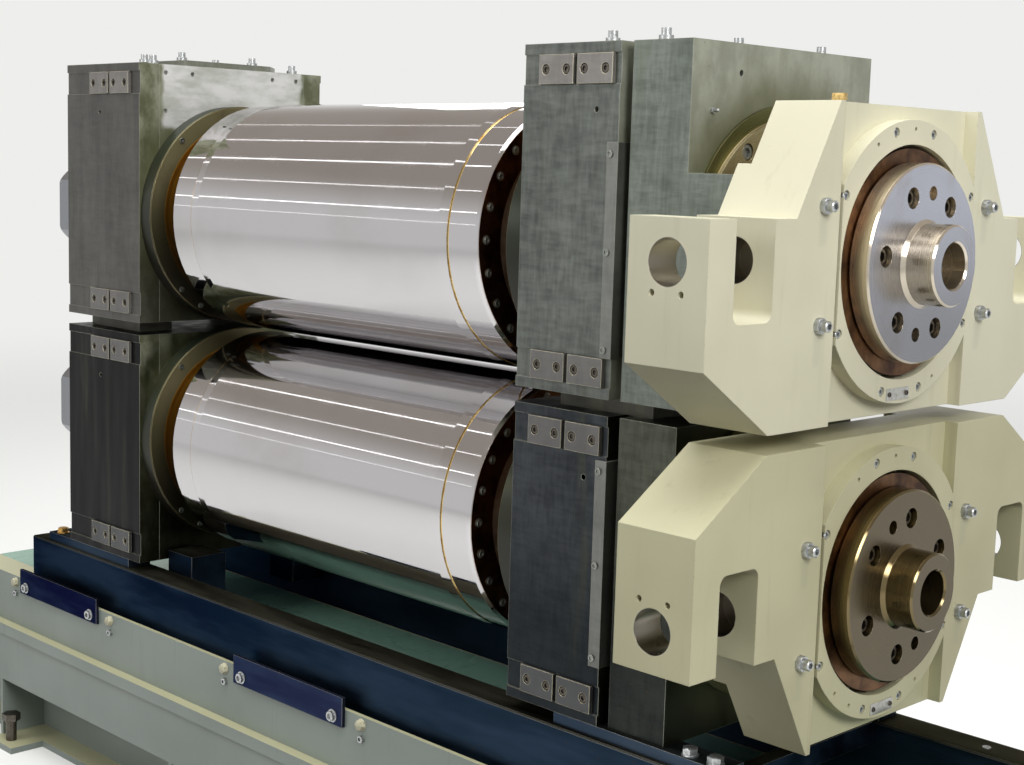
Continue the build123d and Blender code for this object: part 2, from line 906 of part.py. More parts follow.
strip_top = bed_bottom + guide_strip_height
with BuildPart() as clips:
    for side in (-1, 1):
        for index in range(clip_count):
            x = clip_centre + (index - (clip_count - 1) / 2) * clip_pitch
            y = bed_front + guide_strip_thickness
            block(
                (x - clip_length / 2, x + clip_length / 2),
                span(y, y + clip_thickness, side),
                (strip_top + clip_rise - clip_height, strip_top + clip_rise),
            )
save(clips, "clip_plates")

with BuildPart() as cross:
    spread = stand_half_length - cross_beam_end_gap
    reach = web_front - bed_wall
    for index in range(cross_beam_count):
        x = -spread + index * 2 * spread / (cross_beam_count - 1)
        block(
            (x - cross_beam_width / 2, x + cross_beam_width / 2),
            (-reach, reach),
            (flange_bottom - cross_beam_height, flange_bottom),
        )
save(cross, "cross_beams")

with BuildPart() as deck:
    block(
        (-stand_half_length, stand_half_length),
        (-(bed_front - bed_flange_depth), bed_front - bed_flange_depth),
        (rail_bottom - deck_thickness, rail_bottom),
    )
save(deck, "deck_plate")

with BuildPart() as jacks:
    for sign in (-1, 1):
        for side in (-1, 1):
            x = sign * jack_position
            y = side * (face_front + jack_reach)
            with BuildSketch(Plane.XY.offset(base_flange_thickness)):
                with Locations((x, y)):
                    Circle(jack_shank_radius)
            extrude(amount=jack_height - base_flange_thickness)
            with BuildSketch(Plane.XY.offset(jack_height - jack_head_height)):
                with Locations((x, y)):
                    RegularPolygon(jack_head_across_flats / 2, 6, major_radius=False)
            extrude(amount=jack_head_height)
save(jacks, "jack_bolts")
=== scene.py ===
"""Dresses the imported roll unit: finishes, screws and small fittings, studio and camera."""
from __future__ import annotations

import json
import logging
import math
from dataclasses import dataclass, field, replace
from enum import Enum
from typing import Iterable, Mapping, Sequence

import bmesh
import bpy
from mathutils import Matrix, Vector

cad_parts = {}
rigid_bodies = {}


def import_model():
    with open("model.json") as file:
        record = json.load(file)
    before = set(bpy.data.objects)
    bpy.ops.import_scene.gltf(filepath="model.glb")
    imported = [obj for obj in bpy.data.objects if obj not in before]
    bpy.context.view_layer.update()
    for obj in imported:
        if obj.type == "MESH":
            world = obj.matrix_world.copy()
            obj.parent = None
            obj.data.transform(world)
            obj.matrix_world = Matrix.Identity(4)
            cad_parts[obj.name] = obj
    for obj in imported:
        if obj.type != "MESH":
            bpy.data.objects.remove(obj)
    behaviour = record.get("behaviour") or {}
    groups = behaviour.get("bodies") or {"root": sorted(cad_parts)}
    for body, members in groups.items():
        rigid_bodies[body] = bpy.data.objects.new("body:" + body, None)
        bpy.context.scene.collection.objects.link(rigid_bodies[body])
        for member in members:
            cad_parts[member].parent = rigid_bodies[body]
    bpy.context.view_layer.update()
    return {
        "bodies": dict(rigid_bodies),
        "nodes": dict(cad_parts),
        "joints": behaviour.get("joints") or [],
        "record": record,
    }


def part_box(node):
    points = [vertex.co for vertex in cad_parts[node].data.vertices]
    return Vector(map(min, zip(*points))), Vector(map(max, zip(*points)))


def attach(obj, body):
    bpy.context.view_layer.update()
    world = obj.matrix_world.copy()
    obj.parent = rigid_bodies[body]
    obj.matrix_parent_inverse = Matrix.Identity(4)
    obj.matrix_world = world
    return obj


LOG = logging.getLogger("roll_unit")
MM = 0.001
LEVELS = ("upper", "lower")
ENDS = ("left", "right")
SIDES = ("front", "rear")
BOTH_WAYS = (-1.0, 1.0)
FIXED_BODY = "stand_unit"
SCREW_SLOT = "bolt_zinc"
SHARP_DEGREES = 32.0
ACROSS_RINGS = 0.25
# Dark tone below a roll axis: painted shade on the seal rings; on the chocks just darker towards the bottom.
DARK_BELOW_AXIS = "#17130c"


def linear(code: str) -> tuple[float, float, float, float]:
    """Turns an sRGB hex code into linear light.

    Args:
        code: A hash and six hex digits.

    Returns:
        Red, green, blue and an alpha of one.
    """
    values = [int(code[i : i + 2], 16) / 255 for i in (1, 3, 5)]
    light = [v / 12.92 if v <= 0.04045 else ((v + 0.055) / 1.055) ** 2.4 for v in values]
    return (light[0], light[1], light[2], 1.0)


def add_node(
    tree: bpy.types.NodeTree,
    kind: str,
    inputs: Mapping[object, object] | None = None,
    **settings: object,
) -> bpy.types.Node:
    """Adds a node with its settings, values and links.

    Args:
        tree: The node tree that gets the node.
        kind: The node's type name.
        inputs: Socket name or number to a number, a hex colour, or the socket that feeds it.
        **settings: Attributes of the node.

    Returns:
        The new node.
    """
    node = tree.nodes.new(kind)
    for name, value in settings.items():
        setattr(node, name, value)
    for key, value in (inputs or {}).items():
        source = value.socket if isinstance(value, Value) else value
        if isinstance(source, bpy.types.NodeSocket):
            tree.links.new(source, node.inputs[key])
        elif isinstance(source, str) and source.startswith("#"):
            node.inputs[key].default_value = linear(source)
        else:
            node.inputs[key].default_value = source
    return node


def empty_tree(owner: bpy.types.Material | bpy.types.World) -> bpy.types.NodeTree:
    """Gives a material or world an empty node tree.

    Args:
        owner: The material or world.

    Returns:
        Its node tree.
    """
    owner.use_nodes = True
    owner.node_tree.nodes.clear()
    return owner.node_tree


@dataclass(frozen=True)
class Value:
    """A number, colour or vector that a shader works out at each point."""

    socket: bpy.types.NodeSocket

    def through(
        self, kind: str, inputs: Mapping[object, object], output: int | str = 0, **settings: object
    ) -> Value:
        """Works out a new value with one more node.

        Args:
            kind: The node's type name.
            inputs: What add_node takes.
            output: Name or number of the node's result.
            **settings: Attributes of the node.

        Returns:
            The new value.
        """
        return Value(add_node(self.socket.id_data, kind, inputs, **settings).outputs[output])

    def step(self, operation: str, *others: Value | float) -> Value:
        """One step of arithmetic with this value first."""
        return self.through("ShaderNodeMath", dict(enumerate((self, *others))), operation=operation)

    def __add__(self, other: Value | float) -> Value:
        """The sum."""
        return self.step("ADD", other)

    def __sub__(self, other: Value | float) -> Value:
        """The difference."""
        return self.step("SUBTRACT", other)

    def __mul__(self, other: Value | float) -> Value:
        """The product."""
        return self.step("MULTIPLY", other)

    def rest(self) -> Value:
        """What is left of one."""
        return self * -1.0 + 1.0

    def at_most(self, limit: float) -> Value:
        """The value, held below a limit."""
        return self.step("MINIMUM", limit)

    def at_least(self, limit: Value | float) -> Value:
        """The value, held above a limit."""
        return self.step("MAXIMUM", limit)

    def reach(self, other: Value) -> Value:
        """The length of a line with these two values as its sides."""
        return (self * self + other * other).step("SQRT")

    def ramp(self, low: float, high: float, to_low: float = 0.0, to_high: float = 1.0) -> Value:
        """Eases a range of the value onto another, clamped at both ends.

        Args:
            low: Where the range starts.
            high: Where it ends, which may be lower.
            to_low: The result at the start.
            to_high: The result at the end.

        Returns:
            The new value.
        """
        span = {"Value": self, "From Min": low, "From Max": high, "To Min": to_low, "To Max": to_high}
        return self.through("ShaderNodeMapRange", span, "Result", interpolation_type="SMOOTHSTEP")

    def between(self, low: float, high: float, soft: float) -> Value:
        """One inside a range, easing to zero just outside it.

        Args:
            low: Start of the range.
            high: End of the range.
            soft: Width of the easing.

        Returns:
            A value from zero to one.
        """
        return self.ramp(low - soft, low) * self.ramp(high, high + soft, 1.0, 0.0)

    def tones(self, first: Value | str, second: Value | str) -> Value:
        """The first colour where the value is zero, turning to the second where it is one."""
        return self.through("ShaderNodeMix", {"Factor": self, 6: first, 7: second}, 2, data_type="RGBA")

    def bump(self, depth_mm: float, under: Value | None = None) -> Value:
        """A normal bumped by this value as a height from 0 to 1.

        Args:
            depth_mm: How deep a step from 0 to 1 is, in millimetres.
            under: The normal to start from, if not the surface's own.

        Returns:
            The bumped normal.
        """
        inputs: dict[object, object] = {"Height": self, "Distance": depth_mm * MM, "Strength": 1.0}
        if under is not None:
            inputs["Normal"] = under
        return self.through("ShaderNodeBump", inputs, "Normal")

    def parts(self) -> list[Value]:
        """The X, Y and Z of a vector."""
        node = add_node(self.socket.id_data, "ShaderNodeSeparateXYZ", {0: self})
        return [Value(socket) for socket in node.outputs]


@dataclass(frozen=True)
class Patch:
    """A box in metres where a finish differs."""

    low: tuple[float, float, float]
    high: tuple[float, float, float]


class Pattern:
    """What the finishes are drawn from: Object coordinates in metres, grains and edges."""

    def __init__(self, tree: bpy.types.NodeTree) -> None:
        """Makes the coordinates.

        Args:
            tree: The material's node tree.
        """
        self.tree = tree
        source = add_node(tree, "ShaderNodeTexCoord")
        self.place = Value(source.outputs["Object"])
        self.x, self.y, self.z = self.place.parts()
        self.normal = Value(source.outputs["Normal"]).parts()

    def grains(
        self,
        size_mm: float | Sequence[float],
        detail: float = 3.0,
        rough: float = 0.5,
        shift: Sequence[float] = (0.0, 0.0, 0.0),
    ) -> Value:
        """Soft grains from 0 to 1.

        Args:
            size_mm: Their size in millimetres, the same all ways or along X, Y and Z.
            detail: Octaves of finer grains.
            rough: Strength of the finer octaves.
            shift: Moves the pattern, in grains.

        Returns:
            The pattern.
        """
        sizes = (size_mm,) * 3 if isinstance(size_mm, float) else size_mm
        scale = tuple(1 / (size * MM) for size in sizes)
        spot = {"Vector": self.place, "Scale": scale, "Location": tuple(shift)}
        stretched = self.place.through("ShaderNodeMapping", spot)
        inputs = {"Vector": stretched, "Scale": 1.0, "Detail": detail, "Roughness": rough}
        return stretched.through("ShaderNodeTexNoise", inputs, "Fac")

    def hatch(self, long_mm: float, wide_mm: float, shift: float = 0.0) -> Value:
        """Crossed upright and level strokes, as a grinding disc leaves on a face.

        Args:
            long_mm: Length of a stroke.
            wide_mm: Width of a stroke.
            shift: Moves the pattern.

        Returns:
            A value from zero to one.
        """
        upright = self.grains((wide_mm, wide_mm, long_mm), 2.0, shift=(shift, 2.0, 0.0))
        level = self.grains((long_mm, long_mm, wide_mm), 2.0, shift=(0.0, shift, 5.0))
        return (upright.ramp(0.4, 0.6) + level.ramp(0.4, 0.6)) * 0.5

    def radius_from(self, height: float) -> Value:
        """Distance in metres from the roll axis at a height."""
        return self.y.reach(self.z - height)

    def end_facing(self) -> Value:
        """One on faces that look along X, either way, and zero on the others."""
        return self.normal[0].step("ABSOLUTE").ramp(0.6, 0.9)

    def upward(self) -> Value:
        """One on faces that look up and zero on the others."""
        return self.normal[2].ramp(0.5, 0.9)

    def inside(self, patch: Patch, soft: float, wobble: float) -> Value:
        """One inside a box, with an uneven border.

        Args:
            patch: The box.
            soft: Width of the border.
            wobble: How far soft grains move the border.

        Returns:
            A value from zero to one.
        """
        drift = (self.grains(41.67, 4.0) - 0.5) * wobble
        spans = zip((self.x, self.y, self.z), patch.low, patch.high)
        x, y, z = [(part + drift).between(low, high, soft) for part, low, high in spans]
        return x * y * z

    def broken_edge(self, radius_mm: float) -> tuple[Value, Value]:
        """Edges broken with a file, which catch the light; finishes brighten them as real wear and, on some,
        as a painted highlight.

        Args:
            radius_mm: The edge's radius in millimetres.

        Returns:
            The rounded normal, and a value that is zero on flat faces and rises at an edge.
        """
        rounded = self.place.through("ShaderNodeBevel", {"Radius": radius_mm * MM}, samples=4)
        flat = add_node(self.tree, "ShaderNodeNewGeometry").outputs["Normal"]
        pair = {0: flat, 1: rounded}
        match = rounded.through("ShaderNodeVectorMath", pair, "Value", operation="DOT_PRODUCT")
        return rounded, match.rest() * 4.0

    def lathe_marks(self, drag: Value | float) -> dict[str, object]:
        """Reflections that rings about the roll axis draw out.

        Args:
            drag: How strongly they do, from zero to one.

        Returns:
            What feeds the shader's sockets.
        """
        around = self.place.through("ShaderNodeTangent", {}, direction_type="RADIAL", axis="X")
        return {"Anisotropic": drag, "Anisotropic Rotation": ACROSS_RINGS, "Tangent": around}


@dataclass(frozen=True)
class Finish:
    """A surface finish, with one Blender material made on its first use."""

    name: str

    def surface(self, pattern: Pattern) -> dict[str, object]:
        """Draws the finish; each kind has its own.

        Args:
            pattern: What it is drawn from.

        Returns:
            What feeds each socket of the shader.
        """
        raise NotImplementedError

    def material(self) -> bpy.types.Material:
        """Gives the material, built once.

        Returns:
            The Blender material.
        """
        found = bpy.data.materials.get(self.name)
        if found is not None:
            return found
        made = bpy.data.materials.new(self.name)
        tree = empty_tree(made)
        shader = add_node(tree, "ShaderNodeBsdfPrincipled", self.surface(Pattern(tree)))
        add_node(tree, "ShaderNodeOutputMaterial", {"Surface": shader.outputs["BSDF"]})
        return made


@dataclass(frozen=True)
class RollSteel(Finish):
    """A roll: hard chromed barrel like a mirror, oily brown necks, bare drive neck."""

    axis_height: float = 0.0
    barrel: tuple[float, float] = (-0.4895, 0.5055)
    barrel_rim: tuple[float, float] = (0.2525, 0.2515)
    drive_neck: tuple[float, float] = (-0.75, -0.8)
    tint: str = "#c2c0c2"
    haze: str = "#a39d96"
    oily: tuple[str, str] = ("#321c10", "#6e4f34")
    bare: str = "#8a8c91"
    turned_end: tuple[str, str] = ("#8d7b69", "#b3a390")
    line_mm: float = 0.9

    def surface(self, pattern: Pattern) -> dict[str, object]:
        """Grinding lines round the barrel, drawn wider than real ones so that they show.

        Args:
            pattern: What it is drawn from.

        Returns:
            What feeds each socket of the shader.
        """
        lines = pattern.grains((self.line_mm, 500.0, 500.0), 2.0)
        bands = pattern.grains((71.43, 1250.0, 1250.0), 2.0, shift=(3.0, 0.0, 0.0))
        film = pattern.grains((333.3, 200.0, 200.0), 4.0, shift=(0.0, 7.0, 0.0))
        stain = pattern.grains(45.45, 4.0, 0.6).ramp(0.3, 0.7)
        chrome = film.ramp(0.45, 0.75, 0.0, 0.3).tones(self.tint, self.haze)
        necks = pattern.x.ramp(*self.drive_neck).tones(stain.tones(*self.oily), self.bare)
        on_barrel = pattern.x.between(*self.barrel, 0.0002)
        rim = pattern.radius_from(self.axis_height).ramp(*self.barrel_rim)
        end_face = pattern.end_facing() * rim
        shine = on_barrel * end_face.rest()
        turned = end_face * on_barrel
        necks = turned.tones(necks, stain.tones(*self.turned_end))
        polish = bands.ramp(0.35, 0.7, 0.04, 0.075) + film.ramp(0.5, 0.8, 0.0, 0.03)
        return {
            "Base Color": shine.tones(necks, chrome),
            "Metallic": (turned * 0.3).rest(),
            "Roughness": polish + shine.rest() * 0.26,
            "Normal": lines.bump(0.0022),
            **pattern.lathe_marks(turned * 0.8),
        }


@dataclass(frozen=True)
class TurnedSteel(Finish):
    """Steel from the lathe: fine rings about a roll axis, cool faces, and rims in a warm tone that is a
    painted reflection.
    """

    axis_height: float = 0.0
    face: str = "#b4b4bb"
    # The warm rim tone is a painted reflection.
    rim: str = "#c0a684"
    stain: str = "#6d553c"
    stained: float = 0.5
    ring_mm: float = 1.4
    gloss: float = 0.24
    drag: float = 0.75
    metal: float = 1.0
    inner: str = ""
    inner_radius: float = 0.0
    outer: str = ""
    outer_radius: float = 1.0
    edge_tone: str = "#c9c0a8"
    edge_gain: float = 0.5
    edge_mm: float = 1.1
    dark_below: float = 0.0
    dark_below_span: tuple[float, float] = (0.19, -0.13)
    dark_below_tone: str = DARK_BELOW_AXIS

    def surface(self, pattern: Pattern) -> dict[str, object]:
        """Rings by the distance to the axis, wider than real ones so that they show, and stains.

        Args:
            pattern: What it is drawn from.

        Returns:
            What feeds each socket of the shader.
        """
        radius = pattern.radius_from(self.axis_height)
        spot = radius.through("ShaderNodeCombineXYZ", {0: radius + pattern.x * 0.8})
        grain = {"Vector": spot, "Scale": 1 / (self.ring_mm * MM), "Detail": 2.0}
        rings = spot.through("ShaderNodeTexNoise", grain, "Fac")
        clouds = pattern.grains(111.1, 4.0).ramp(0.48, 0.75, 0.0, self.stained)
        spots = pattern.grains(16.67, 3.0, shift=(2.0, 5.0, 1.0)).ramp(0.3, 0.7, 0.4, 1.0)
        colour = pattern.end_facing().tones(self.rim, self.face)
        colour = (clouds * spots).tones(colour, self.stain)
        if self.inner:
            colour = radius.ramp(self.inner_radius, self.inner_radius - MM).tones(colour, self.inner)
        if self.outer:
            colour = radius.ramp(self.outer_radius, self.outer_radius + MM).tones(colour, self.outer)
        # Darker below the axis: painted shade on the seal rings and a painted dark reflection on the hubs.
        if self.dark_below:
            low = (pattern.z - self.axis_height).ramp(*self.dark_below_span, 0.0, self.dark_below)
            colour = low.tones(colour, self.dark_below_tone)
        # The edge tone brightens the broken edges: a painted highlight.
        rounded, near = pattern.broken_edge(self.edge_mm)
        return {
            "Base Color": (near * self.edge_gain).at_most(0.8).tones(colour, self.edge_tone),
            "Metallic": self.metal,
            "Roughness": rings.ramp(0.3, 0.7, self.gloss - 0.06, self.gloss + 0.08),
            "Normal": rings.bump(0.012, rounded),
            **pattern.lathe_marks(self.drag),
        }


@dataclass(frozen=True)
class GroundBlackSteel(Finish):
    """Blackened ground steel: square passes, upright marks, olive oil by the seals, worn edges, with painted
    light and shade on end faces and towards the floor.
    """

    tint: str = "#484b45"
    pale: str = "#82877d"
    oil: str = "#6a694c"
    oily: float = 0.35
    rust: str = "#5a4028"
    end_tones: tuple[str, str] = ("#4a4d34", "#6f7060")
    end_share: float = 0.0
    edge_tone: str = "#9d9f92"
    hatching: float = 0.16
    metal: float = 0.5
    axis_height: float = 0.0
    seal_reach: float = 0.0
    seal_film: float = 0.09
    dark_below: float = 0.0
    low_shade_tone: str = ""
    low_shade_span: tuple[float, float] = (1.0, 0.7)
    low_shade_share: float = 0.7
    ground: Patch | None = None
    ground_tones: tuple[str, str] = ("#b9bbb2", "#e2e1e0")

    def surface(self, pattern: Pattern) -> dict[str, object]:
        """Mottled squares and streaks first, then painted light and shade on the end faces, oil, painted
        shade low down, rust, the bare patch and the edges.

        Args:
            pattern: What it is drawn from.

        Returns:
            What feeds each socket of the shader.
        """
        marks = pattern.grains((2.381, 2.381, 111.1), 3.0)
        squares = (pattern.hatch(90.91, 23.81) + pattern.hatch(38.46, 8.333, 4.0)) * self.hatching
        cloud = pattern.grains((142.9, 142.9, 200.0), 5.0, 0.6, (4.0, 1.0, 0.0))
        runs = pattern.grains((38.46, 38.46, 454.5), 4.0, 0.55, (0.0, 9.0, 3.0))
        film = pattern.grains((50.0, 50.0, 76.92), 5.0, 0.6, (6.0, 3.0, 2.0)).ramp(0.35, 0.65)
        specks = pattern.grains((6.667, 6.667, 9.091), 2.0, 0.6, (1.0, 1.0, 8.0))
        body = (cloud.ramp(0.3, 0.75) * 0.36 + (squares + marks * 0.25)).tones(self.tint, self.pale)
        # Faces that look along X take their own end tones, set per finish: painted light where paler than the
        # sides, painted shade where darker.
        body = (pattern.end_facing() * self.end_share).tones(body, film.tones(*self.end_tones))
        body = runs.ramp(0.56, 0.8, 0.0, self.oily).tones(body, self.oil)
        # The low tone darkens towards the floor: painted shade.
        if self.low_shade_tone:
            low = pattern.z.ramp(*self.low_shade_span, 0.0, self.low_shade_share)
            body = low.tones(body, self.low_shade_tone)
        if self.seal_reach:
            body = self.add_oil(pattern, body, cloud)
        body = specks.ramp(0.66, 0.78, 0.0, 0.45).tones(body, self.rust)
        if self.ground is not None:
            swirl = pattern.grains((111.1, 111.1, 38.46), 5.0, 0.6, (2.0, 2.0, 2.0))
            bare = pattern.inside(self.ground, 0.014, 0.026) * 0.93
            body = bare.tones(body, swirl.ramp(0.32, 0.66).tones(*self.ground_tones))
        # Brightened edges: real wear, and on the key plates a painted highlight.
        rounded, near = pattern.broken_edge(2.2)
        worn = (near * runs.ramp(0.3, 0.6, 0.5, 1.6)).at_most(0.75)
        return {
            "Base Color": worn.tones(body, self.edge_tone),
            "Metallic": self.metal,
            "Roughness": runs.ramp(0.35, 0.75, 0.5, 0.3),
            "Normal": marks.bump(0.03, rounded),
        }

    def add_oil(self, pattern: Pattern, body: Value, cloud: Value) -> Value:
        """Olive oil film on the faces around the seal rings and covers, darker below the axis.

        Args:
            pattern: What it is drawn from.
            body: The colour below.
            cloud: Grains that make the film uneven.

        Returns:
            The colour with its film.
        """
        facing = pattern.end_facing()
        radius = pattern.radius_from(self.axis_height) + cloud * self.seal_film
        film = radius.ramp(self.seal_reach + self.seal_film, self.seal_reach, 0.25, 0.8)
        body = (film * facing).tones(body, self.oil)
        if not self.dark_below:
            return body
        low = (pattern.z - self.axis_height + cloud * 0.1).ramp(0.2, -0.16)
        return (low * (facing * self.dark_below)).tones(body, DARK_BELOW_AXIS)


@dataclass(frozen=True)
class MachineEnamel(Finish):
    """Sprayed machine enamel: orange peel, grime in runs, bare metal at knocks and in bores."""

    tint: str = "#d9d5bd"
    grime: str = "#a39d83"
    bare: str = "#6d6a60"
    dirt: float = 0.3
    chips: float = 0.62
    gloss: float = 0.42
    top: str = ""
    bore: tuple[float, float] | None = None
    bore_radius: float = 0.0354
    bore_tone: str = "#8c867c"
    streaks: tuple[tuple[float, float], ...] = ()
    streak_tone: str = "#6f7a74"
    streak_face: tuple[float, float] = (1.2, 1.3)
    streak_half: float = 0.003
    streak_length: float = 0.055
    streak_soft: float = 0.012

    def surface(self, pattern: Pattern) -> dict[str, object]:
        """Slow changes of tone, dirt that runs down and chips only near the edges.

        Args:
            pattern: What it is drawn from.

        Returns:
            What feeds each socket of the shader.
        """
        peel = pattern.grains(3.846, 2.0)
        tone = pattern.grains(333.3, 3.0, 0.5, (2.0, 0.0, 5.0))
        runs = pattern.grains((26.32, 26.32, 333.3), 5.0, 0.6, (0.0, 3.0, 1.0))
        specks = pattern.grains(5.263, 3.0, 0.6, (7.0, 0.0, 0.0))
        body = tone.ramp(0.35, 0.75, 0.0, 0.3).tones(self.tint, self.grime)
        body = runs.ramp(0.56, 0.82, 0.0, self.dirt).tones(body, self.grime)
        # A lighter tone on upward faces: painted light from above, with some dust.
        if self.top:
            body = (pattern.upward() * 0.8).tones(body, self.top)
        body = specks.ramp(0.72, 0.8, 0.0, 0.35).tones(body, self.bare)
        near, far = self.streak_face
        for across, height in self.streaks:
            low = (near, across - self.streak_half, height - self.streak_length)
            high = (far, across + self.streak_half, height)
            trail = pattern.inside(Patch(low, high), self.streak_soft, self.streak_soft)
            body = (trail * 0.1).tones(body, self.streak_tone)
        rounded, near_edge = pattern.broken_edge(1.6)
        worn = (near_edge * specks.ramp(self.chips - 0.05, self.chips + 0.1)).at_most(0.8)
        body = worn.tones(body, self.bare)
        rough = tone.ramp(0.3, 0.8, self.gloss, self.gloss + 0.15)
        steel: Value | float = 0.0
        if self.bore is not None:
            middle = (pattern.x - self.bore[0]).reach(pattern.z - self.bore[1])
            steel = middle.ramp(self.bore_radius + 0.0004, self.bore_radius)
            body = steel.tones(body, self.bore_tone)
            rough = rough - steel * 0.2
        return {
            "Base Color": body,
            "Metallic": steel,
            "Roughness": rough,
            "Coat Weight": 0.12,
            "Coat Roughness": 0.25,
            "Normal": peel.bump(0.05, rounded),
        }


@dataclass(frozen=True)
class RolledSteel(Finish):
    """Dark oiled steel bar: navy sides, brown oily top, long marks along X, worn bright edges."""

    tint: str = "#202b38"
    pale: str = "#2d3b4c"
    top: str = "#5b5848"
    rust: str = "#4a3324"
    worn: str = "#a3a29c"
    glance: str = "#3a4964"
    gloss: float = 0.34

    def surface(self, pattern: Pattern) -> dict[str, object]:
        """Marks run along the bar; oil makes some stretches glossier.

        Args:
            pattern: What it is drawn from.

        Returns:
            What feeds each socket of the shader.
        """
        marks = pattern.grains((166.7, 3.333, 3.333), 3.0)
        cloud = pattern.grains((400.0, 71.43, 71.43), 4.0, 0.6)
        specks = pattern.grains(8.333, 3.0, 0.6, (3.0, 3.0, 3.0))
        body = cloud.ramp(0.35, 0.7).tones(self.tint, self.pale)
        body = (pattern.upward() * 0.85).tones(body, self.top)
        body = specks.ramp(0.64, 0.78, 0.0, 0.5).tones(body, self.rust)
        rounded, near = pattern.broken_edge(1.6)
        return {
            "Base Color": near.at_most(0.75).tones(body, self.worn),
            "Metallic": 1.0,
            # The navy specular tint is a painted blue reflection.
            "Specular Tint": self.glance,
            "Roughness": cloud.ramp(0.3, 0.7, self.gloss, self.gloss + 0.18),
            "Normal": marks.bump(0.02, rounded),
        }


@dataclass(frozen=True)
class Fastener(Finish):
    """Screw steel, zinc plated or oiled black, with a little grime that dulls its shine."""

    tint: str = "#a9adb0"
    grime: str = "#4a4640"
    gloss: float = 0.3
    metal: float = 1.0
    pitting_mm: float = 0.012

    def surface(self, pattern: Pattern) -> dict[str, object]:
        """Grains of a few millimetres break the plating's shine.

        Args:
            pattern: What it is drawn from.

        Returns:
            What feeds each socket of the shader.
        """
        cloud = pattern.grains(4.545, 3.0)
        return {
            "Base Color": cloud.ramp(0.45, 0.75, 0.0, 0.6).tones(self.tint, self.grime),
            "Metallic": self.metal,
            "Roughness": cloud.ramp(0.3, 0.7, self.gloss, self.gloss + 0.2),
            "Normal": cloud.bump(self.pitting_mm),
        }


@dataclass(frozen=True)
class GoldGlint(Finish):
    """A painted highlight of the collar's edge in the groove: a pale gold lip, glossy and a little uneven."""

    tint: str = "#f0d28a"
    deep: str = "#c49a48"

    def surface(self, pattern: Pattern) -> dict[str, object]:
        """Paler and deeper patches of the painted gold over metal.

        Args:
            pattern: What it is drawn from.

        Returns:
            What feeds each socket of the shader.
        """
        cloud = pattern.grains(22.22, 3.0)
        return {
            "Base Color": cloud.ramp(0.35, 0.7).tones(self.tint, self.deep),
            "Metallic": 0.75,
            "Roughness": cloud.ramp(0.3, 0.7, 0.18, 0.34),
            "Coat Weight": 0.6,
            "Coat Roughness": 0.12,
            "Normal": cloud.bump(0.3),
        }


# Rolls, hubs and turned rings: chrome is a clear mirror, bare turned steel shows its rings.
CHROME = RollSteel("Hard_Chrome")
# The hubs' darker lower part is a painted dark reflection.
HUB_STEEL = TurnedSteel(
    "Turned_Hub",
    stain="#7d6a4e",
    stained=0.2,
    gloss=0.2,
    metal=0.95,
    edge_gain=0.25,
    edge_mm=0.6,
    dark_below=0.5,
    dark_below_span=(0.12, -0.13),
    dark_below_tone="#4a4436",
)
# The seal rings darken towards the bottom with painted shade, and their bright edge tone is a painted
# highlight.
SEAL_STEEL = TurnedSteel(
    "Oily_Seal_Steel",
    face="#7c7554",
    rim="#2e3528",
    stain="#43351a",
    gloss=0.34,
    metal=0.55,
    inner="#c08a2a",
    inner_radius=0.2185,
    edge_tone="#d8c48a",
    edge_gain=1.5,
    dark_below=0.86,
)
COVER_STEEL = TurnedSteel(
    "Brown_Cover_Steel",
    face="#c6b998",
    rim="#d9cba6",
    stain="#6d5a40",
    gloss=0.3,
    outer="#6a6a44",
    outer_radius=0.2255,
)
# Ground plates on the chocks: grey and half dull under oil; the key plates darken downwards with painted
# shade, and their cream edge tone is a painted highlight.
KEY_STEEL = GroundBlackSteel(
    "Ground_Key_Steel",
    tint="#6f6b68",
    pale="#94918d",
    oily=0.1,
    edge_tone="#efe6c4",
    low_shade_tone="#2b3036",
    low_shade_span=(1.75, 0.5),
    low_shade_share=0.8,
)
# The strips' dark end tones are painted shade on their faces that look along X.
STRIP_STEEL = GroundBlackSteel(
    "Ground_Strip_Steel",
    tint="#5d5e5a",
    pale="#8e8f8a",
    oily=0.25,
    end_tones=("#2e2d27", "#44453d"),
    end_share=0.7,
)
SPACER_STEEL = GroundBlackSteel("Ground_Spacer_Steel", tint="#35342e", pale="#5c5a50", oily=0.5)
TOP_STEEL = GroundBlackSteel("Ground_Top_Plate", tint="#5f6257", pale="#8f9286", oily=0.4)
# Bars and clips: mill scale under oil, with a dark blue sheen that the navy Specular Tint paints into their
# reflections.
RAIL_STEEL = RolledSteel("Oiled_Rail_Steel")
FOOT_STEEL = RolledSteel("Blued_Foot_Steel", tint="#2f3a48", pale="#414d5b", top="#4a4d4a", gloss=0.36)
CLIP_STEEL = RolledSteel("Blued_Clip_Steel", tint="#2e3147", pale="#384359", top="#434960", gloss=0.3)
# Enamel on the stand: satin with long runs of dirt; its grey green is painted bluish shade over cream paint,
# the beams' cream tops are painted light with dust, and the deck is glossier.
STAND_ENAMEL = MachineEnamel(
    "Grey_Cream_Enamel_Stand", tint="#8a938c", grime="#687068", dirt=0.5, chips=0.6, gloss=0.36, top="#bdb991"
)
DECK_GREEN = MachineEnamel(
    "Green_Enamel_Deck", tint="#80aa96", grime="#405a4e", dirt=0.7, chips=0.6, gloss=0.25
)
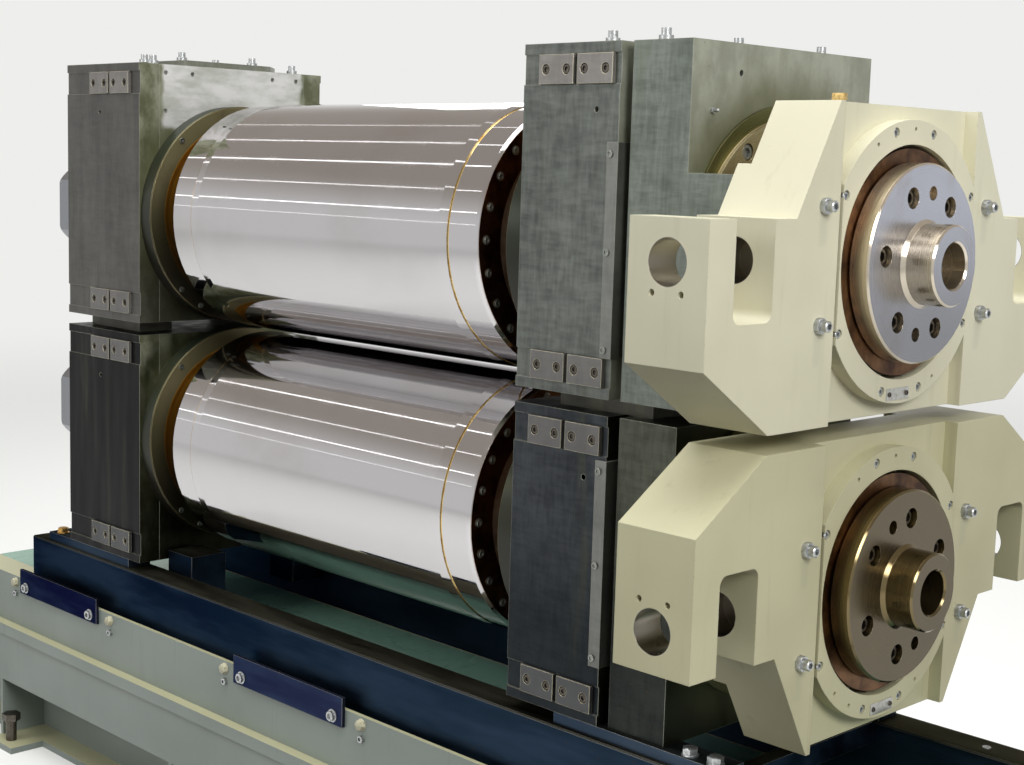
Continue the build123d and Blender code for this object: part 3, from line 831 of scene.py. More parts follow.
# Fasteners and small plates: bright zinc, dull or bright bare steel, oiled black, yellow
# passivated, brass, and bolts that lost their shine under the stand's paint.
ZINC = Fastener("Zinc_Plated_Steel", tint="#b4b7b8", grime="#6f6c64")
DULL_STEEL = Fastener("Dull_Steel_Screws", tint="#8b8e88", grime="#4d4c45")
PLATE_STEEL = Fastener("Bright_Plate_Steel", tint="#b8b8b4", grime="#8a877c", pitting_mm=0.003)
OILED_BLACK = Fastener("Oiled_Black_Screws", tint="#5d5851", grime="#211f1c", gloss=0.28)
YELLOW_STEEL = Fastener("Yellow_Passivated_Steel", tint="#c09a5a", grime="#6a5028")
BRASS = Fastener("Brass_Stop", tint="#cdb277", grime="#7f6a3c", gloss=0.4)
PAINTED_BOLT = Fastener(
    "Cream_Painted_Bolts", tint="#c9c5aa", grime="#8f8a70", gloss=0.4, metal=0.0, pitting_mm=0.006
)
# The gold line in the groove: a painted highlight of the collar's edge, made as a thin pale gold ring.
GOLD_GLINT = GoldGlint("Painted_Gold_Glint")


@dataclass(frozen=True)
class Seat:
    """Where a fastener sits: the point under its head and the way it faces."""

    point: Vector
    axis: Vector


class Drive(Enum):
    """The form of a fastener's head."""

    SOCKET = "socket"
    HEX = "hex"
    PLAIN = "plain"


@dataclass(frozen=True)
class Screw:
    """A fastener's head, made as a small closed mesh that faces +Z."""

    radius: float
    height: float
    drive: Drive = Drive.SOCKET
    collar_radius: float = 0.0
    collar_height: float = 0.0
    sides: int = 24

    @staticmethod
    def outline(radius: float, angle: float, hexagonal: bool) -> tuple[float, float]:
        """One point of a round or six sided ring.

        Args:
            radius: Radius of the circle, or of the circle inside the hexagon.
            angle: Angle in radians.
            hexagonal: True for the six sided ring.

        Returns:
            X and Y of the point.
        """
        reach = radius
        if hexagonal:
            sector = math.pi / 3
            reach = radius / math.cos((angle % sector) - sector / 2)
        return reach * math.cos(angle), reach * math.sin(angle)

    def rings(self) -> list[tuple[float, float, bool]]:
        """The head's rings, from under it to its middle.

        Returns:
            Radius, height and whether six sided, for each ring.
        """
        edge = self.height * 0.12
        base = self.collar_height
        top = base + self.height
        six = self.drive is Drive.HEX
        rows: list[tuple[float, float, bool]] = []
        if self.collar_radius:
            rows += [
                (self.collar_radius, 0.0, False),
                (self.collar_radius, base * 0.8, False),
                (self.collar_radius * 0.94, base, False),
            ]
        rows += [(self.radius, base, six), (self.radius, top - edge, six), (self.radius - edge, top, False)]
        if self.drive is Drive.SOCKET:
            key = self.radius * 0.52
            rows += [(key, top, True), (key, base + self.height * 0.45, True)]
            rows += [(key * 0.3, base + self.height * 0.36, False)]
        return rows

    def mesh(self, name: str) -> bpy.types.Mesh:
        """Builds the head.

        Args:
            name: The mesh's name.

        Returns:
            The mesh.
        """
        made = bmesh.new()
        loops = []
        for radius, height, six in self.rings():
            spots = [self.outline(radius, 2 * math.pi * i / self.sides, six) for i in range(self.sides)]
            loops.append([made.verts.new((x, y, height)) for x, y in spots])
        for lower, upper in zip(loops, loops[1:]):
            for i in range(self.sides):
                j = (i + 1) % self.sides
                made.faces.new((lower[i], lower[j], upper[j], upper[i]))
        made.faces.new(loops[-1])
        made.faces.new(list(reversed(loops[0])))
        bmesh.ops.recalc_face_normals(made, faces=made.faces)
        return plain_mesh(made, name)


class ScrewSpread:
    """Sets copies of a screw on marked points with a Geometry Nodes tree."""

    TREE = "Screw_Spread"
    INPUTS = (("Seats", "Geometry"), ("Screw", "Object"), ("Finish", "Material"), ("Turn Seed", "Int"))
    # Random Value has a Max for each data type; this is the number's place among its inputs.
    RANDOM_MAX = 3
    LARGEST_TURN = math.pi / 3

    @classmethod
    def tree(cls) -> bpy.types.NodeTree:
        """The tree with its named inputs, built once.

        Returns:
            The Geometry Nodes tree.
        """
        found = bpy.data.node_groups.get(cls.TREE)
        if found is not None:
            return found
        tree = bpy.data.node_groups.new(cls.TREE, "GeometryNodeTree")
        for name, kind in cls.INPUTS:
            tree.interface.new_socket(name, in_out="INPUT", socket_type=f"NodeSocket{kind}")
        tree.interface.new_socket("Screws", in_out="OUTPUT", socket_type="NodeSocketGeometry")
        inputs = add_node(tree, "NodeGroupInput").outputs
        master = add_node(tree, "GeometryNodeObjectInfo", {"Object": inputs["Screw"]})
        named = {"Name": "seat_axis"}
        axis = add_node(tree, "GeometryNodeInputNamedAttribute", named, data_type="FLOAT_VECTOR")
        facing = {"Vector": axis.outputs["Attribute"]}
        align = add_node(tree, "FunctionNodeAlignRotationToVector", facing, axis="Z")
        spread = add_node(
            tree,
            "GeometryNodeInstanceOnPoints",
            {
                "Points": inputs["Seats"],
                "Instance": master.outputs["Geometry"],
                "Rotation": align.outputs[0],
            },
        )
        draw = {cls.RANDOM_MAX: cls.LARGEST_TURN, "Seed": inputs["Turn Seed"]}
        turn = add_node(tree, "FunctionNodeRandomValue", draw, data_type="FLOAT")
        spin = add_node(tree, "ShaderNodeCombineXYZ", {2: turn.outputs[1]})
        turned = add_node(
            tree,
            "GeometryNodeRotateInstances",
            {"Instances": spread.outputs[0], "Rotation": spin.outputs[0], "Local Space": True},
        )
        real = add_node(tree, "GeometryNodeRealizeInstances", {0: turned.outputs[0]})
        painted = {"Geometry": real.outputs[0], "Material": inputs["Finish"]}
        dressed = add_node(tree, "GeometryNodeSetMaterial", painted)
        add_node(tree, "NodeGroupOutput", {0: dressed.outputs[0]})
        return tree

    @classmethod
    def place(
        cls,
        name: str,
        seats: Sequence[Seat],
        screw: Screw,
        finish: Finish,
        seed: int = 7,
        body: str = FIXED_BODY,
        slot: str = SCREW_SLOT,
    ) -> bpy.types.Object:
        """Puts one screw on every seat, as one plain mesh.

        Args:
            name: The piece's name.
            seats: Where the screws go.
            screw: The screw's sizes.
            finish: The screw's finish.
            seed: Turns the drives differently.
            body: The CAD body that carries them.
            slot: The record's material slot, not used.

        Returns:
            The finished piece.
        """
        tree = cls.tree()
        points = bpy.data.meshes.new(name + "_seats")
        points.from_pydata([seat.point for seat in seats], [], [])
        axes = points.attributes.new("seat_axis", "FLOAT_VECTOR", "POINT")
        for row, seat in zip(axes.data, seats):
            row.vector = seat.axis
        holder = add_object(name + "_holder", points)
        master = add_object(name + "_master", screw.mesh(name + "_master"))
        modifier = holder.modifiers.new("Spread", "NODES")
        modifier.node_group = tree
        keys = {item.name: item.identifier for item in tree.interface.items_tree if item.in_out == "INPUT"}
        modifier[keys["Screw"]] = master
        modifier[keys["Finish"]] = finish.material()
        modifier[keys["Turn Seed"]] = seed
        graph = bpy.context.evaluated_depsgraph_get()
        mesh = bpy.data.meshes.new_from_object(holder.evaluated_get(graph), depsgraph=graph)
        holder.modifiers.remove(modifier)
        for item in (holder, master):
            bpy.data.objects.remove(item)
        return finish_piece(name, mesh, finish, body)


def add_object(name: str, data: bpy.types.ID) -> bpy.types.Object:
    """Makes an object and links it to the scene.

    Args:
        name: The object's name.
        data: Its mesh, lamp or camera.

    Returns:
        The object.
    """
    made = bpy.data.objects.new(name, data)
    bpy.context.scene.collection.objects.link(made)
    return made


def plain_mesh(made: bmesh.types.BMesh, name: str) -> bpy.types.Mesh:
    """Turns a bmesh into a mesh and frees it.

    Args:
        made: The bmesh.
        name: The mesh's name.

    Returns:
        The mesh.
    """
    mesh = bpy.data.meshes.new(name)
    made.to_mesh(mesh)
    made.free()
    return mesh


def finish_piece(
    name: str, mesh: bpy.types.Mesh, finish: Finish, body: str = FIXED_BODY
) -> bpy.types.Object:
    """Makes a mesh a piece of the object.

    Args:
        name: The piece's name.
        mesh: Its mesh, in the row frame.
        finish: Its finish.
        body: The CAD body that carries it.

    Returns:
        The piece.
    """
    mesh.name = name
    mesh.materials.clear()
    mesh.materials.append(finish.material())
    mesh.shade_smooth()
    mesh.set_sharp_from_angle(angle=math.radians(SHARP_DEGREES))
    piece = add_object(name, mesh)
    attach(piece, body)
    LOG.info("%s: %d faces on %s", name, len(mesh.polygons), body)
    return piece


def bevelled_box(middle: Vector, size: Vector, edge: float) -> bpy.types.Mesh:
    """A box with broken edges.

    Args:
        middle: Its middle.
        size: Its lengths along X, Y and Z.
        edge: How much each edge is broken.

    Returns:
        The mesh.
    """
    made = bmesh.new()
    place = Matrix.Translation(middle) @ Matrix.Diagonal(size).to_4x4()
    bmesh.ops.create_cube(made, size=1.0, matrix=place)
    bmesh.ops.bevel(made, geom=made.edges[:], offset=edge, segments=2, profile=0.6, affect="EDGES")
    return plain_mesh(made, "Bevelled_Box")


def ring_mesh(
    name: str, profile: Sequence[tuple[float, float]], height: float, steps: int = 192
) -> bpy.types.Mesh:
    """Turns a closed profile of X and radius about a roll axis.

    Args:
        name: The mesh's name.
        profile: X and radius of each corner, in order around the section.
        height: The roll axis's height.
        steps: Parts of the full turn.

    Returns:
        The mesh.
    """
    made = bmesh.new()
    loops = []
    for i in range(steps):
        across, up = math.cos(2 * math.pi * i / steps), math.sin(2 * math.pi * i / steps)
        loops.append([made.verts.new((x, r * across, height + r * up)) for x, r in profile])
    for here, after in zip(loops, loops[1:] + loops[:1]):
        for j in range(len(profile)):
            k = (j + 1) % len(profile)
            made.faces.new((here[j], here[k], after[k], after[j]))
    bmesh.ops.recalc_face_normals(made, faces=made.faces)
    return plain_mesh(made, name)


def dress(frame: Mapping[str, object], names: Iterable[str], finish: Finish) -> None:
    """Gives CAD nodes a finish.

    Args:
        names: The nodes.
        finish: Their finish.
    """
    for name in names:
        node = frame["nodes"][name]
        node.data.materials.clear()
        node.data.materials.append(finish.material())
        LOG.info("%s gets %s", name, finish.name)


def axis_height(level: str) -> float:
    """Height of a roll's axis, from its CAD node."""
    low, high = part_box(f"roll_{level}")
    return (low.z + high.z) / 2


def about_axis(finish: Finish, level: str) -> Finish:
    """A finish whose rings or oil centre on a roll's axis, with the roll in its name."""
    return replace(finish, name=f"{finish.name}_{level}", axis_height=axis_height(level))


def polar(x: float, radius: float, height: float, angle: float) -> Vector:
    """A point beside a roll axis.

    Args:
        x: Place along the axis.
        radius: Distance from the axis.
        height: The roll axis's height.
        angle: Degrees from +Y towards +Z.

    Returns:
        The point.
    """
    turn = math.radians(angle)
    return Vector((x, radius * math.cos(turn), height + radius * math.sin(turn)))


def even_turns(count: int, first: float = 0.0) -> list[float]:
    """Angles in degrees, spread evenly over a full turn."""
    return [first + 360 * i / count for i in range(count)]


def screw_circle(
    x: float, radius: float, height: float, angles: Iterable[float], way: float = 1.0
) -> list[Seat]:
    """Seats on a circle about a roll axis, facing along it.

    Args:
        x: Place along the axis.
        radius: The circle's radius.
        height: The roll axis's height.
        angles: Degrees from +Y towards +Z.
        way: 1 to face +X and -1 to face -X.

    Returns:
        The seats.
    """
    return [Seat(polar(x, radius, height, angle), Vector((way, 0, 0))) for angle in angles]


def both_sides(points: Iterable[Sequence[float]], axis: Sequence[float]) -> list[Seat]:
    """Seats at the front and rear side.

    Args:
        points: X, Y and Z of each seat at the rear.
        axis: The way the rear seats face.

    Returns:
        The front seats and then the rear ones.
    """
    chosen = list(points)
    return [
        Seat(Vector((x, side * y, z)), Vector((axis[0], side * axis[1], axis[2])))
        for side in BOTH_WAYS
        for x, y, z in chosen
    ]


@dataclass
class Rolls:
    """The two rolls: barrel, end screws, a gold ring in the groove as a painted highlight of the collar's
    edge, hub disc and its screws.
    """

    frame: Mapping[str, object]
    barrel_ends: tuple[float, float] = (-0.490, 0.506)
    collar_width: float = 0.075
    groove_width: float = 0.004
    groove_floor: float = 0.246
    # Radius and crown of the gold ring, a painted highlight of the collar's edge.
    glint_radius: float = 0.2545
    glint_crown: float = 0.2562
    end_screw_circle: float = 0.232
    end_screw_count: int = 24
    end_screw: Screw = Screw(0.0062, 0.0022, collar_radius=0.0088, collar_height=0.0012)
    hub_face: float = 1.272
    hub_counterbore_depth: float = 0.024
    hub_screw_circle: float = 0.113
    hub_screw_count: int = 6
    hub_screw: Screw = Screw(0.0138, 0.016)
    hub_phase: Mapping[str, float] = field(default_factory=lambda: {"upper": 53.0, "lower": 25.0})
    # The lower hub's darker face and rim are painted shade; the upper hub's cream rim is a painted warm
    # reflection.
    hub_lit_and_shaded_tones: Mapping[str, tuple[str, str]] = field(
        default_factory=lambda: {"upper": ("#b5b8c4", "#eadcc2"), "lower": ("#6a6150", "#7c6c48")}
    )

    def build(self) -> None:
        """Dresses both rolls."""
        for level in LEVELS:
            height = axis_height(level)
            body = f"{level}_roll"
            face, rim = self.hub_lit_and_shaded_tones[level]
            dress(self.frame, [f"roll_{level}"], about_axis(CHROME, level))
            dress(self.frame, [f"hub_{level}"], about_axis(replace(HUB_STEEL, face=face, rim=rim), level))
            self.end_screws(level, height, body)
            self.groove_lines(level, height, body)
            self.hub_screws(level, height, body)

    def end_screws(self, level: str, height: float, body: str) -> None:
        """Screws on both end faces of the barrel.

        Args:
            level: Which roll.
            height: Its axis height.
            body: Its CAD body.
        """
        seats = []
        for x, way in zip(self.barrel_ends, BOTH_WAYS):
            seats += screw_circle(x, self.end_screw_circle, height, even_turns(self.end_screw_count), way)
        ScrewSpread.place(f"roll_end_screws_{level}", seats, self.end_screw, DULL_STEEL, body=body)

    def groove_lines(self, level: str, height: float, body: str) -> None:
        """A narrow gold ring in each groove beside the collars: a painted highlight of the collar's edge.

        Args:
            level: Which roll.
            height: Its axis height.
            body: Its CAD body.
        """
        starts = (
            self.barrel_ends[0] + self.collar_width,
            self.barrel_ends[1] - self.collar_width - self.groove_width,
        )
        for tag, start in zip(ENDS, starts):
            end = start + self.groove_width
            profile = [
                (start, self.groove_floor),
                (end, self.groove_floor),
                (end, self.glint_radius),
                (start + self.groove_width / 2, self.glint_crown),
                (start, self.glint_radius),
            ]
            name = f"groove_line_{tag}_{level}"
            finish_piece(name, ring_mesh(name, profile, height), GOLD_GLINT, body)

    def hub_screws(self, level: str, height: float, body: str) -> None:
        """Socket screws deep in the hub's counterbores.

        Args:
            level: Which roll.
            height: Its axis height.
            body: Its CAD body.
        """
        floor = self.hub_face - self.hub_counterbore_depth
        turns = even_turns(self.hub_screw_count, self.hub_phase[level])
        seats = screw_circle(floor, self.hub_screw_circle, height, turns)
        ScrewSpread.place(f"hub_screws_{level}", seats, self.hub_screw, OILED_BLACK, body=body)


@dataclass(frozen=True)
class ChockLook:
    """How the steel of one chock looks: aged steel, with painted light and shade in its tones."""

    tones: Mapping[str, tuple[str, str]]
    end_tones: tuple[str, str]
    end_share: float
    oil: str
    metal: float
    hatching: float
    dark_below: float
    low_shade_tones: Mapping[str, str] = field(default_factory=dict)
    ground: Patch | None = None


# The lower chocks' darker tones are painted shade. End tones paler than the sides are painted light; the
# lower right chock's dark end tones are a painted shadow, and its low tones darken it towards the floor as
# painted shade.
CHOCK_LOOKS: Mapping[tuple[str, str], ChockLook] = {
    ("left", "upper"): ChockLook(
        {"chock": ("#4a4b41", "#7b7d70"), "liners": ("#3a3937", "#65635f")},
        end_tones=("#5c6044", "#adb09a"),
        end_share=0.8,
        oil="#5f6040",
        metal=0.5,
        hatching=0.16,
        dark_below=0.8,
        ground=Patch((-0.66, -0.190, 1.612), (-0.58, 0.190, 1.76)),
    ),
    ("left", "lower"): ChockLook(
        {"chock": ("#2a2b26", "#4a4b42"), "liners": ("#0c0c0d", "#19191b")},
        end_tones=("#5c6044", "#adb09a"),
        end_share=0.6,
        oil="#55573e",
        metal=1.0,
        hatching=0.16,
        dark_below=0.8,
    ),
    ("right", "upper"): ChockLook(
        {"chock": ("#4a504a", "#7c837a"), "liners": ("#393d39", "#6f736e")},
        end_tones=("#9c9e91", "#b8baad"),
        end_share=0.9,
        oil="#5f6040",
        metal=0.5,
        hatching=0.34,
        dark_below=0.0,
    ),
    ("right", "lower"): ChockLook(
        {"chock": ("#33352e", "#53554c"), "liners": ("#23262a", "#404346")},
        end_tones=("#0d0d0c", "#1f1f1b"),
        end_share=0.9,
        oil="#55573e",
        metal=1.0,
        hatching=0.34,
        dark_below=0.0,
        low_shade_tones={"chock": "#10151b", "liners": "#14191c"},
    ),
}


@dataclass
class Chocks:
    """The four chocks with their key plates, cover strips, seal rings, covers and screws."""

    frame: Mapping[str, object]
    seal_reach: float = 0.3
    seal_face: float = 0.580
    seal_screw_circle: float = 0.243
    seal_screw_angles: tuple[float, ...] = (45.0, 135.0, 225.0, 240.6, 315.0)
    seal_screw: Screw = Screw(0.0066, 0.0035)
    key_bands: tuple[float, ...] = (1.1965, 1.7040, 0.6250, 1.0800)
    key_floor: float = 0.259
    key_centres: tuple[float, ...] = (0.700, 0.789)
    key_screw_offset: float = 0.024
    key_screw: Screw = Screw(0.0078, 0.0052)
    cover_floor: float = 0.990
    cover_circle: float = 0.204
    cover_screw_count: int = 16
    cover_phase: float = 11.25
    cover_screw: Screw = Screw(0.0128, 0.0075)
    outer_face: float = -0.960
    outer_circle: float = 0.170
    outer_screw_count: int = 8
    outer_phase: float = 22.5
    outer_screw: Screw = Screw(0.009, 0.009)
    strip_face: float = 0.265
    strip_place: float = 0.831
    strip_heights: tuple[float, ...] = (1.563, 1.400, 1.236, 1.029, 0.865, 0.702)
    strip_screw: Screw = Screw(0.0064, 0.0028)
    nipple_seat: tuple[float, float, float] = (0.987, 0.197, 1.637)
    nipple: Screw = Screw(0.0032, 0.010, Drive.PLAIN, collar_radius=0.0056, collar_height=0.004)

    def steel(self, node: str, end: str, level: str) -> Finish:
        """The blackened steel of a chock or of its liners.

        Args:
            node: "chock" or "liners".
            end: Which end of the rolls.
            level: Which roll.

        Returns:
            The finish.
        """
        look = CHOCK_LOOKS[end, level]
        tint, pale = look.tones[node]
        steel = GroundBlackSteel(
            f"Ground_Black_Steel_{node}_{end}",
            tint=tint,
            pale=pale,
            oil=look.oil,
            end_tones=look.end_tones,
            end_share=look.end_share,
            low_shade_tone=look.low_shade_tones.get(node, ""),
            hatching=look.hatching,
            metal=look.metal,
            seal_reach=self.seal_reach,
            dark_below=look.dark_below,
            ground=look.ground if node == "chock" else None,
        )
        return about_axis(steel, level)

    def build(self) -> None:
        """Dresses the chocks and sets their screws."""
        for level in LEVELS:
            for end in ENDS:
                for node in ("chock", "liners"):
                    dress(self.frame, [f"{node}_{end}_{level}"], self.steel(node, end, level))
            dress(self.frame, [f"seal_ring_{end}_{level}" for end in ENDS], about_axis(SEAL_STEEL, level))
            dress(self.frame, [f"end_cover_{end}_{level}" for end in ENDS], about_axis(COVER_STEEL, level))
        for name, finish in (
            ("cover_strips", STRIP_STEEL),
            ("chock_spacers", SPACER_STEEL),
            ("key_plates", KEY_STEEL),
            ("top_plate", TOP_STEEL),
            ("top_bolts", ZINC),
        ):
            dress(self.frame, [name], finish)
        self.key_screws()
        self.ring_screws()
        self.strip_screws()

    def key_screws(self) -> None:
        """Two socket screws in each key plate."""
        seats = []
        for way in BOTH_WAYS:
            points = [
                (way * (centre + offset), self.key_floor, height)
                for height in self.key_bands
                for centre in self.key_centres
                for offset in (-self.key_screw_offset, self.key_screw_offset)
            ]
            seats += both_sides(points, (0, 1, 0))
        ScrewSpread.place("key_screws", seats, self.key_screw, OILED_BLACK, 11)

    def ring_screws(self) -> None:
        """Screws on the seal rings and in the counterbores of the covers."""
        seals, covers, outer = [], [], []
        for level in LEVELS:
            height = axis_height(level)
            for way in BOTH_WAYS:
                face = way * self.seal_face
                seals += screw_circle(face, self.seal_screw_circle, height, self.seal_screw_angles, -way)
            turns = even_turns(self.cover_screw_count, self.cover_phase)
            covers += screw_circle(self.cover_floor, self.cover_circle, height, turns)
            turns = even_turns(self.outer_screw_count, self.outer_phase)
            outer += screw_circle(self.outer_face, self.outer_circle, height, turns, -1.0)
        ScrewSpread.place("seal_screws", seals, self.seal_screw, DULL_STEEL, 3)
        ScrewSpread.place("cover_screws", covers, self.cover_screw, ZINC, 5)
        ScrewSpread.place("outer_cover_screws", outer, self.outer_screw, OILED_BLACK, 6)

    def strip_screws(self) -> None:
        """Screws along the cover strips, and the grease nipples of the right chocks."""
        points = [(self.strip_place, self.strip_face, height) for height in self.strip_heights]
        ScrewSpread.place("strip_screws", both_sides(points, (0, 1, 0)), self.strip_screw, DULL_STEEL, 8)
        nipples = both_sides([self.nipple_seat], (1, 0, 0))
        ScrewSpread.place("grease_nipples", nipples, self.nipple, ZINC, 2)


@dataclass
class Brackets:
    """The outer bearing brackets with their cover rings and screws."""

    frame: Mapping[str, object]
    pin_place: float = 1.1655
    pin_offset: float = 0.007
    wing_face: float = 1.239
    wing_across: float = 0.2365
    wing_rise: float = 0.090
    wing_screw: Screw = Screw(0.0088, 0.012, collar_radius=0.0128, collar_height=0.009)
    ring_floor: float = 1.233
    ring_circle: float = 0.212
    ring_angles: tuple[float, ...] = (30, 75, 105, 150, 210, 255, 285, 330)
    ring_screw: Screw = Screw(0.0068, 0.007)
    plate_face: float = 1.242
    plate_circle: float = 0.211
    plate_size: tuple[float, float, float] = (0.0012, 0.066, 0.020)
    plate_edge: float = 0.0004
    plate_screw_half: float = 0.025
    plate_screw: Screw = Screw(0.0042, 0.0018)
    stop_place: tuple[float, float] = (1.227, -0.195)
    stop_rise: float = 0.248
    stop_size: tuple[float, float, float] = (0.022, 0.010, 0.011)
    stop_edge: float = 0.0015
    plate_turns: Mapping[str, float] = field(default_factory=lambda: {"upper": 267.75, "lower": 270.25})
    # The lower brackets' darker cream is painted shade.
    creams: Mapping[str, tuple[str, str]] = field(
        default_factory=lambda: {"upper": ("#dbd7bd", "#a8a287"), "lower": ("#c2be9c", "#857d60")}
    )

    def build(self) -> None:
        """Dresses the brackets and sets their screws."""
        wings, rings = [], []
        for level, way in zip(LEVELS, (1.0, -1.0)):
            height = axis_height(level)
            places = [
                (side * self.wing_across, height + rise)
                for side in BOTH_WAYS
                for rise in (-self.wing_rise, self.wing_rise)
            ]
            tint, grime = self.creams[level]
            cream = MachineEnamel(
                f"Cream_Enamel_{level}",
                tint=tint,
                grime=grime,
                bore=(self.pin_place, height + way * self.pin_offset),
                streaks=tuple(places),
            )
            names = [f"bearing_block_{level}", f"cover_ring_{level}"]
            names += [f"side_plate_{side}_{level}" for side in SIDES]
            dress(self.frame, names, cream)
            wings += [Seat(Vector((self.wing_face, y, z)), Vector((1, 0, 0))) for y, z in places]
            rings += screw_circle(self.ring_floor, self.ring_circle, height, self.ring_angles)
        ScrewSpread.place("wing_screws", wings, self.wing_screw, ZINC, 4)
        ScrewSpread.place("ring_screws", rings, self.ring_screw, ZINC, 9)
        self.blank_plates()
        self.brass_stop()

    def blank_plates(self) -> None:
        """A thin blank plate with two small screws at the bottom of each cover ring."""
        thick = self.plate_size[0]
        for level in LEVELS:
            middle = polar(self.plate_face, self.plate_circle, axis_height(level), self.plate_turns[level])
            plate = bevelled_box(middle + Vector((thick / 2, 0, 0)), Vector(self.plate_size), self.plate_edge)
            finish_piece(f"ring_plate_{level}", plate, PLATE_STEEL)
            seats = [
                Seat(middle + Vector((thick, way * self.plate_screw_half, 0)), Vector((1, 0, 0)))
                for way in BOTH_WAYS
            ]
            ScrewSpread.place(f"ring_plate_screws_{level}", seats, self.plate_screw, OILED_BLACK, 21)

    def brass_stop(self) -> None:
        """The small brass stop on the front end of the upper bracket's top edge."""
        top = axis_height("upper") + self.stop_rise
        middle = Vector((*self.stop_place, top + self.stop_size[2] / 2))
        finish_piece("brass_stop", bevelled_box(middle, Vector(self.stop_size), self.stop_edge), BRASS)


@dataclass
class Stand:
    """Rails, deck, guide strips, clips, beams, jack bolts and their screws."""

    frame: Mapping[str, object]
    clip_front: float = 0.306
    clip_height: float = 0.431
    clip_centres: tuple[float, ...] = (-0.928, 0.016, 0.960)
    clip_half: float = 0.157
    clip_screw: Screw = Screw(0.0105, 0.007, collar_radius=0.0135, collar_height=0.002)
    strip_front: float = 0.298
    pair_places: tuple[float, ...] = (-1.152, -0.690, -0.214, 0.255, 0.724, 1.193)
    painted_height: float = 0.432
    painted_bolt: Screw = Screw(0.0095, 0.008, Drive.HEX, collar_radius=0.0125, collar_height=0.002)
    set_height: float = 0.404
    set_step: float = 0.003
    set_screw: Screw = Screw(0.0075, 0.008)
    foot_top: float = 0.581
    foot_bolt: Screw = Screw(0.012, 0.011, Drive.HEX, collar_radius=0.015, collar_height=0.003)
    right_bolts: tuple[tuple[float, float], ...] = ((1.037, 0.242), (1.090, 0.242))
    left_bolts: tuple[tuple[float, float], ...] = ((-1.010, 0.241),)
    rail_top: float = 0.560
    rail_end: tuple[float, float] = (1.316, 0.230)
    rail_end_screw: Screw = Screw(0.0075, 0.002)
    stop_across: float = 0.100
    stop_places: tuple[tuple[float, float], ...] = ((-0.569, 0.590), (-0.519, 0.585))
    stop_screw: Screw = Screw(0.007, 0.006)

    def build(self) -> None:
        """Dresses the stand and sets its screws."""
        painted = ["cross_beams"]
        for side in SIDES:
            painted += [f"stand_beam_{side}", f"guide_strip_{side}"]
        for names, finish in (
            (["rail_front", "rail_rear", "rail_blocks"], RAIL_STEEL),
            (["foot_blocks"], FOOT_STEEL),
            (["clip_plates"], CLIP_STEEL),
            (["deck_plate"], DECK_GREEN),
            (painted, STAND_ENAMEL),
            (["jack_bolts"], OILED_BLACK),
        ):
            dress(self.frame, names, finish)
        self.strip_bolts()
        self.rail_bolts()

    def strip_bolts(self) -> None:
        """Button screws on the clips and the bolt pairs of the guide strips."""
        out = (0, 1, 0)
        clips = [
            (centre + offset, self.clip_front, self.clip_height)
            for centre in self.clip_centres
            for offset in (-self.clip_half, self.clip_half)
        ]
        painted = [(x, self.strip_front, self.painted_height) for x in self.pair_places]
        shiny = [(x + self.set_step, self.strip_front, self.set_height) for x in self.pair_places]
        ScrewSpread.place("clip_screws", both_sides(clips, out), self.clip_screw, ZINC, 12)
        seats = both_sides(painted, out)
        ScrewSpread.place("painted_bolts", seats, self.painted_bolt, PAINTED_BOLT, 13, slot="stand_paint")
        ScrewSpread.place("strip_set_screws", both_sides(shiny, out), self.set_screw, ZINC, 14)

    def rail_bolts(self) -> None:
        """Hexagon bolts on the feet, yellow ones at the left end, and screws in rails and stops."""
        up = (0, 0, 1)
        right = both_sides([(*place, self.foot_top) for place in self.right_bolts], up)
        ScrewSpread.place("rail_bolts", right, self.foot_bolt, ZINC, 15)
        sunk = both_sides([(*self.rail_end, self.rail_top)], up)
        ScrewSpread.place("rail_end_screws", sunk, self.rail_end_screw, ZINC, 16)
        left = both_sides([(*place, self.foot_top) for place in self.left_bolts], up)
        ScrewSpread.place("rail_left_bolts", left, self.foot_bolt, YELLOW_STEEL, 17)
        stops = both_sides([(x, self.stop_across, z) for x, z in self.stop_places], (0, -1, 0))
        ScrewSpread.place("stop_screws", stops, self.stop_screw, ZINC, 18)


@dataclass
class PhotoCamera:
    """The photograph's camera, solved from its edges."""

    place: tuple[float, float, float] = (2.6402, -2.2780, 1.5377)
    azimuth: float = 45.151
    pitch: float = 7.604
    roll: float = -1.697
    focal_pixels: float = 1616.94
    width_pixels: float = 1024.0
    sensor_mm: float = 36.0
    reach: tuple[float, float] = (0.05, 60.0)

    def build(self) -> None:
        """Makes the camera and gives it to the scene."""
        az, pitch, roll = (math.radians(v) for v in (self.azimuth, self.pitch, self.roll))
        forward = Vector((-math.sin(az) * math.cos(pitch), math.cos(az) * math.cos(pitch), -math.sin(pitch)))
        right = Vector((math.cos(az), math.sin(az), 0.0))
        down = forward.cross(right)
        turned_right = right * math.cos(roll) + down * math.sin(roll)
        turned_up = right * math.sin(roll) - down * math.cos(roll)
        data = bpy.data.cameras.new("Photo_Camera")
        data.sensor_width = self.sensor_mm
        data.lens = self.focal_pixels / self.width_pixels * self.sensor_mm
        data.clip_start, data.clip_end = self.reach
        camera = add_object("Photo_Camera", data)
        turn = Matrix((turned_right, turned_up, -forward)).transposed()
        camera.matrix_world = Matrix.Translation(self.place) @ turn.to_4x4()
        bpy.context.scene.camera = camera


def seen_share(tree: bpy.types.NodeTree) -> Value:
    """One where the camera, a mirror or glass looks, and zero for light on its way.

    Args:
        tree: The node tree.

    Returns:
        A value of zero or one.
    """
    path = add_node(tree, "ShaderNodeLightPath")
    camera, mirror, glass = [
        Value(path.outputs[f"Is {ray} Ray"]) for ray in ("Camera", "Glossy", "Transmission")
    ]
    return camera.at_least(mirror).at_least(glass)


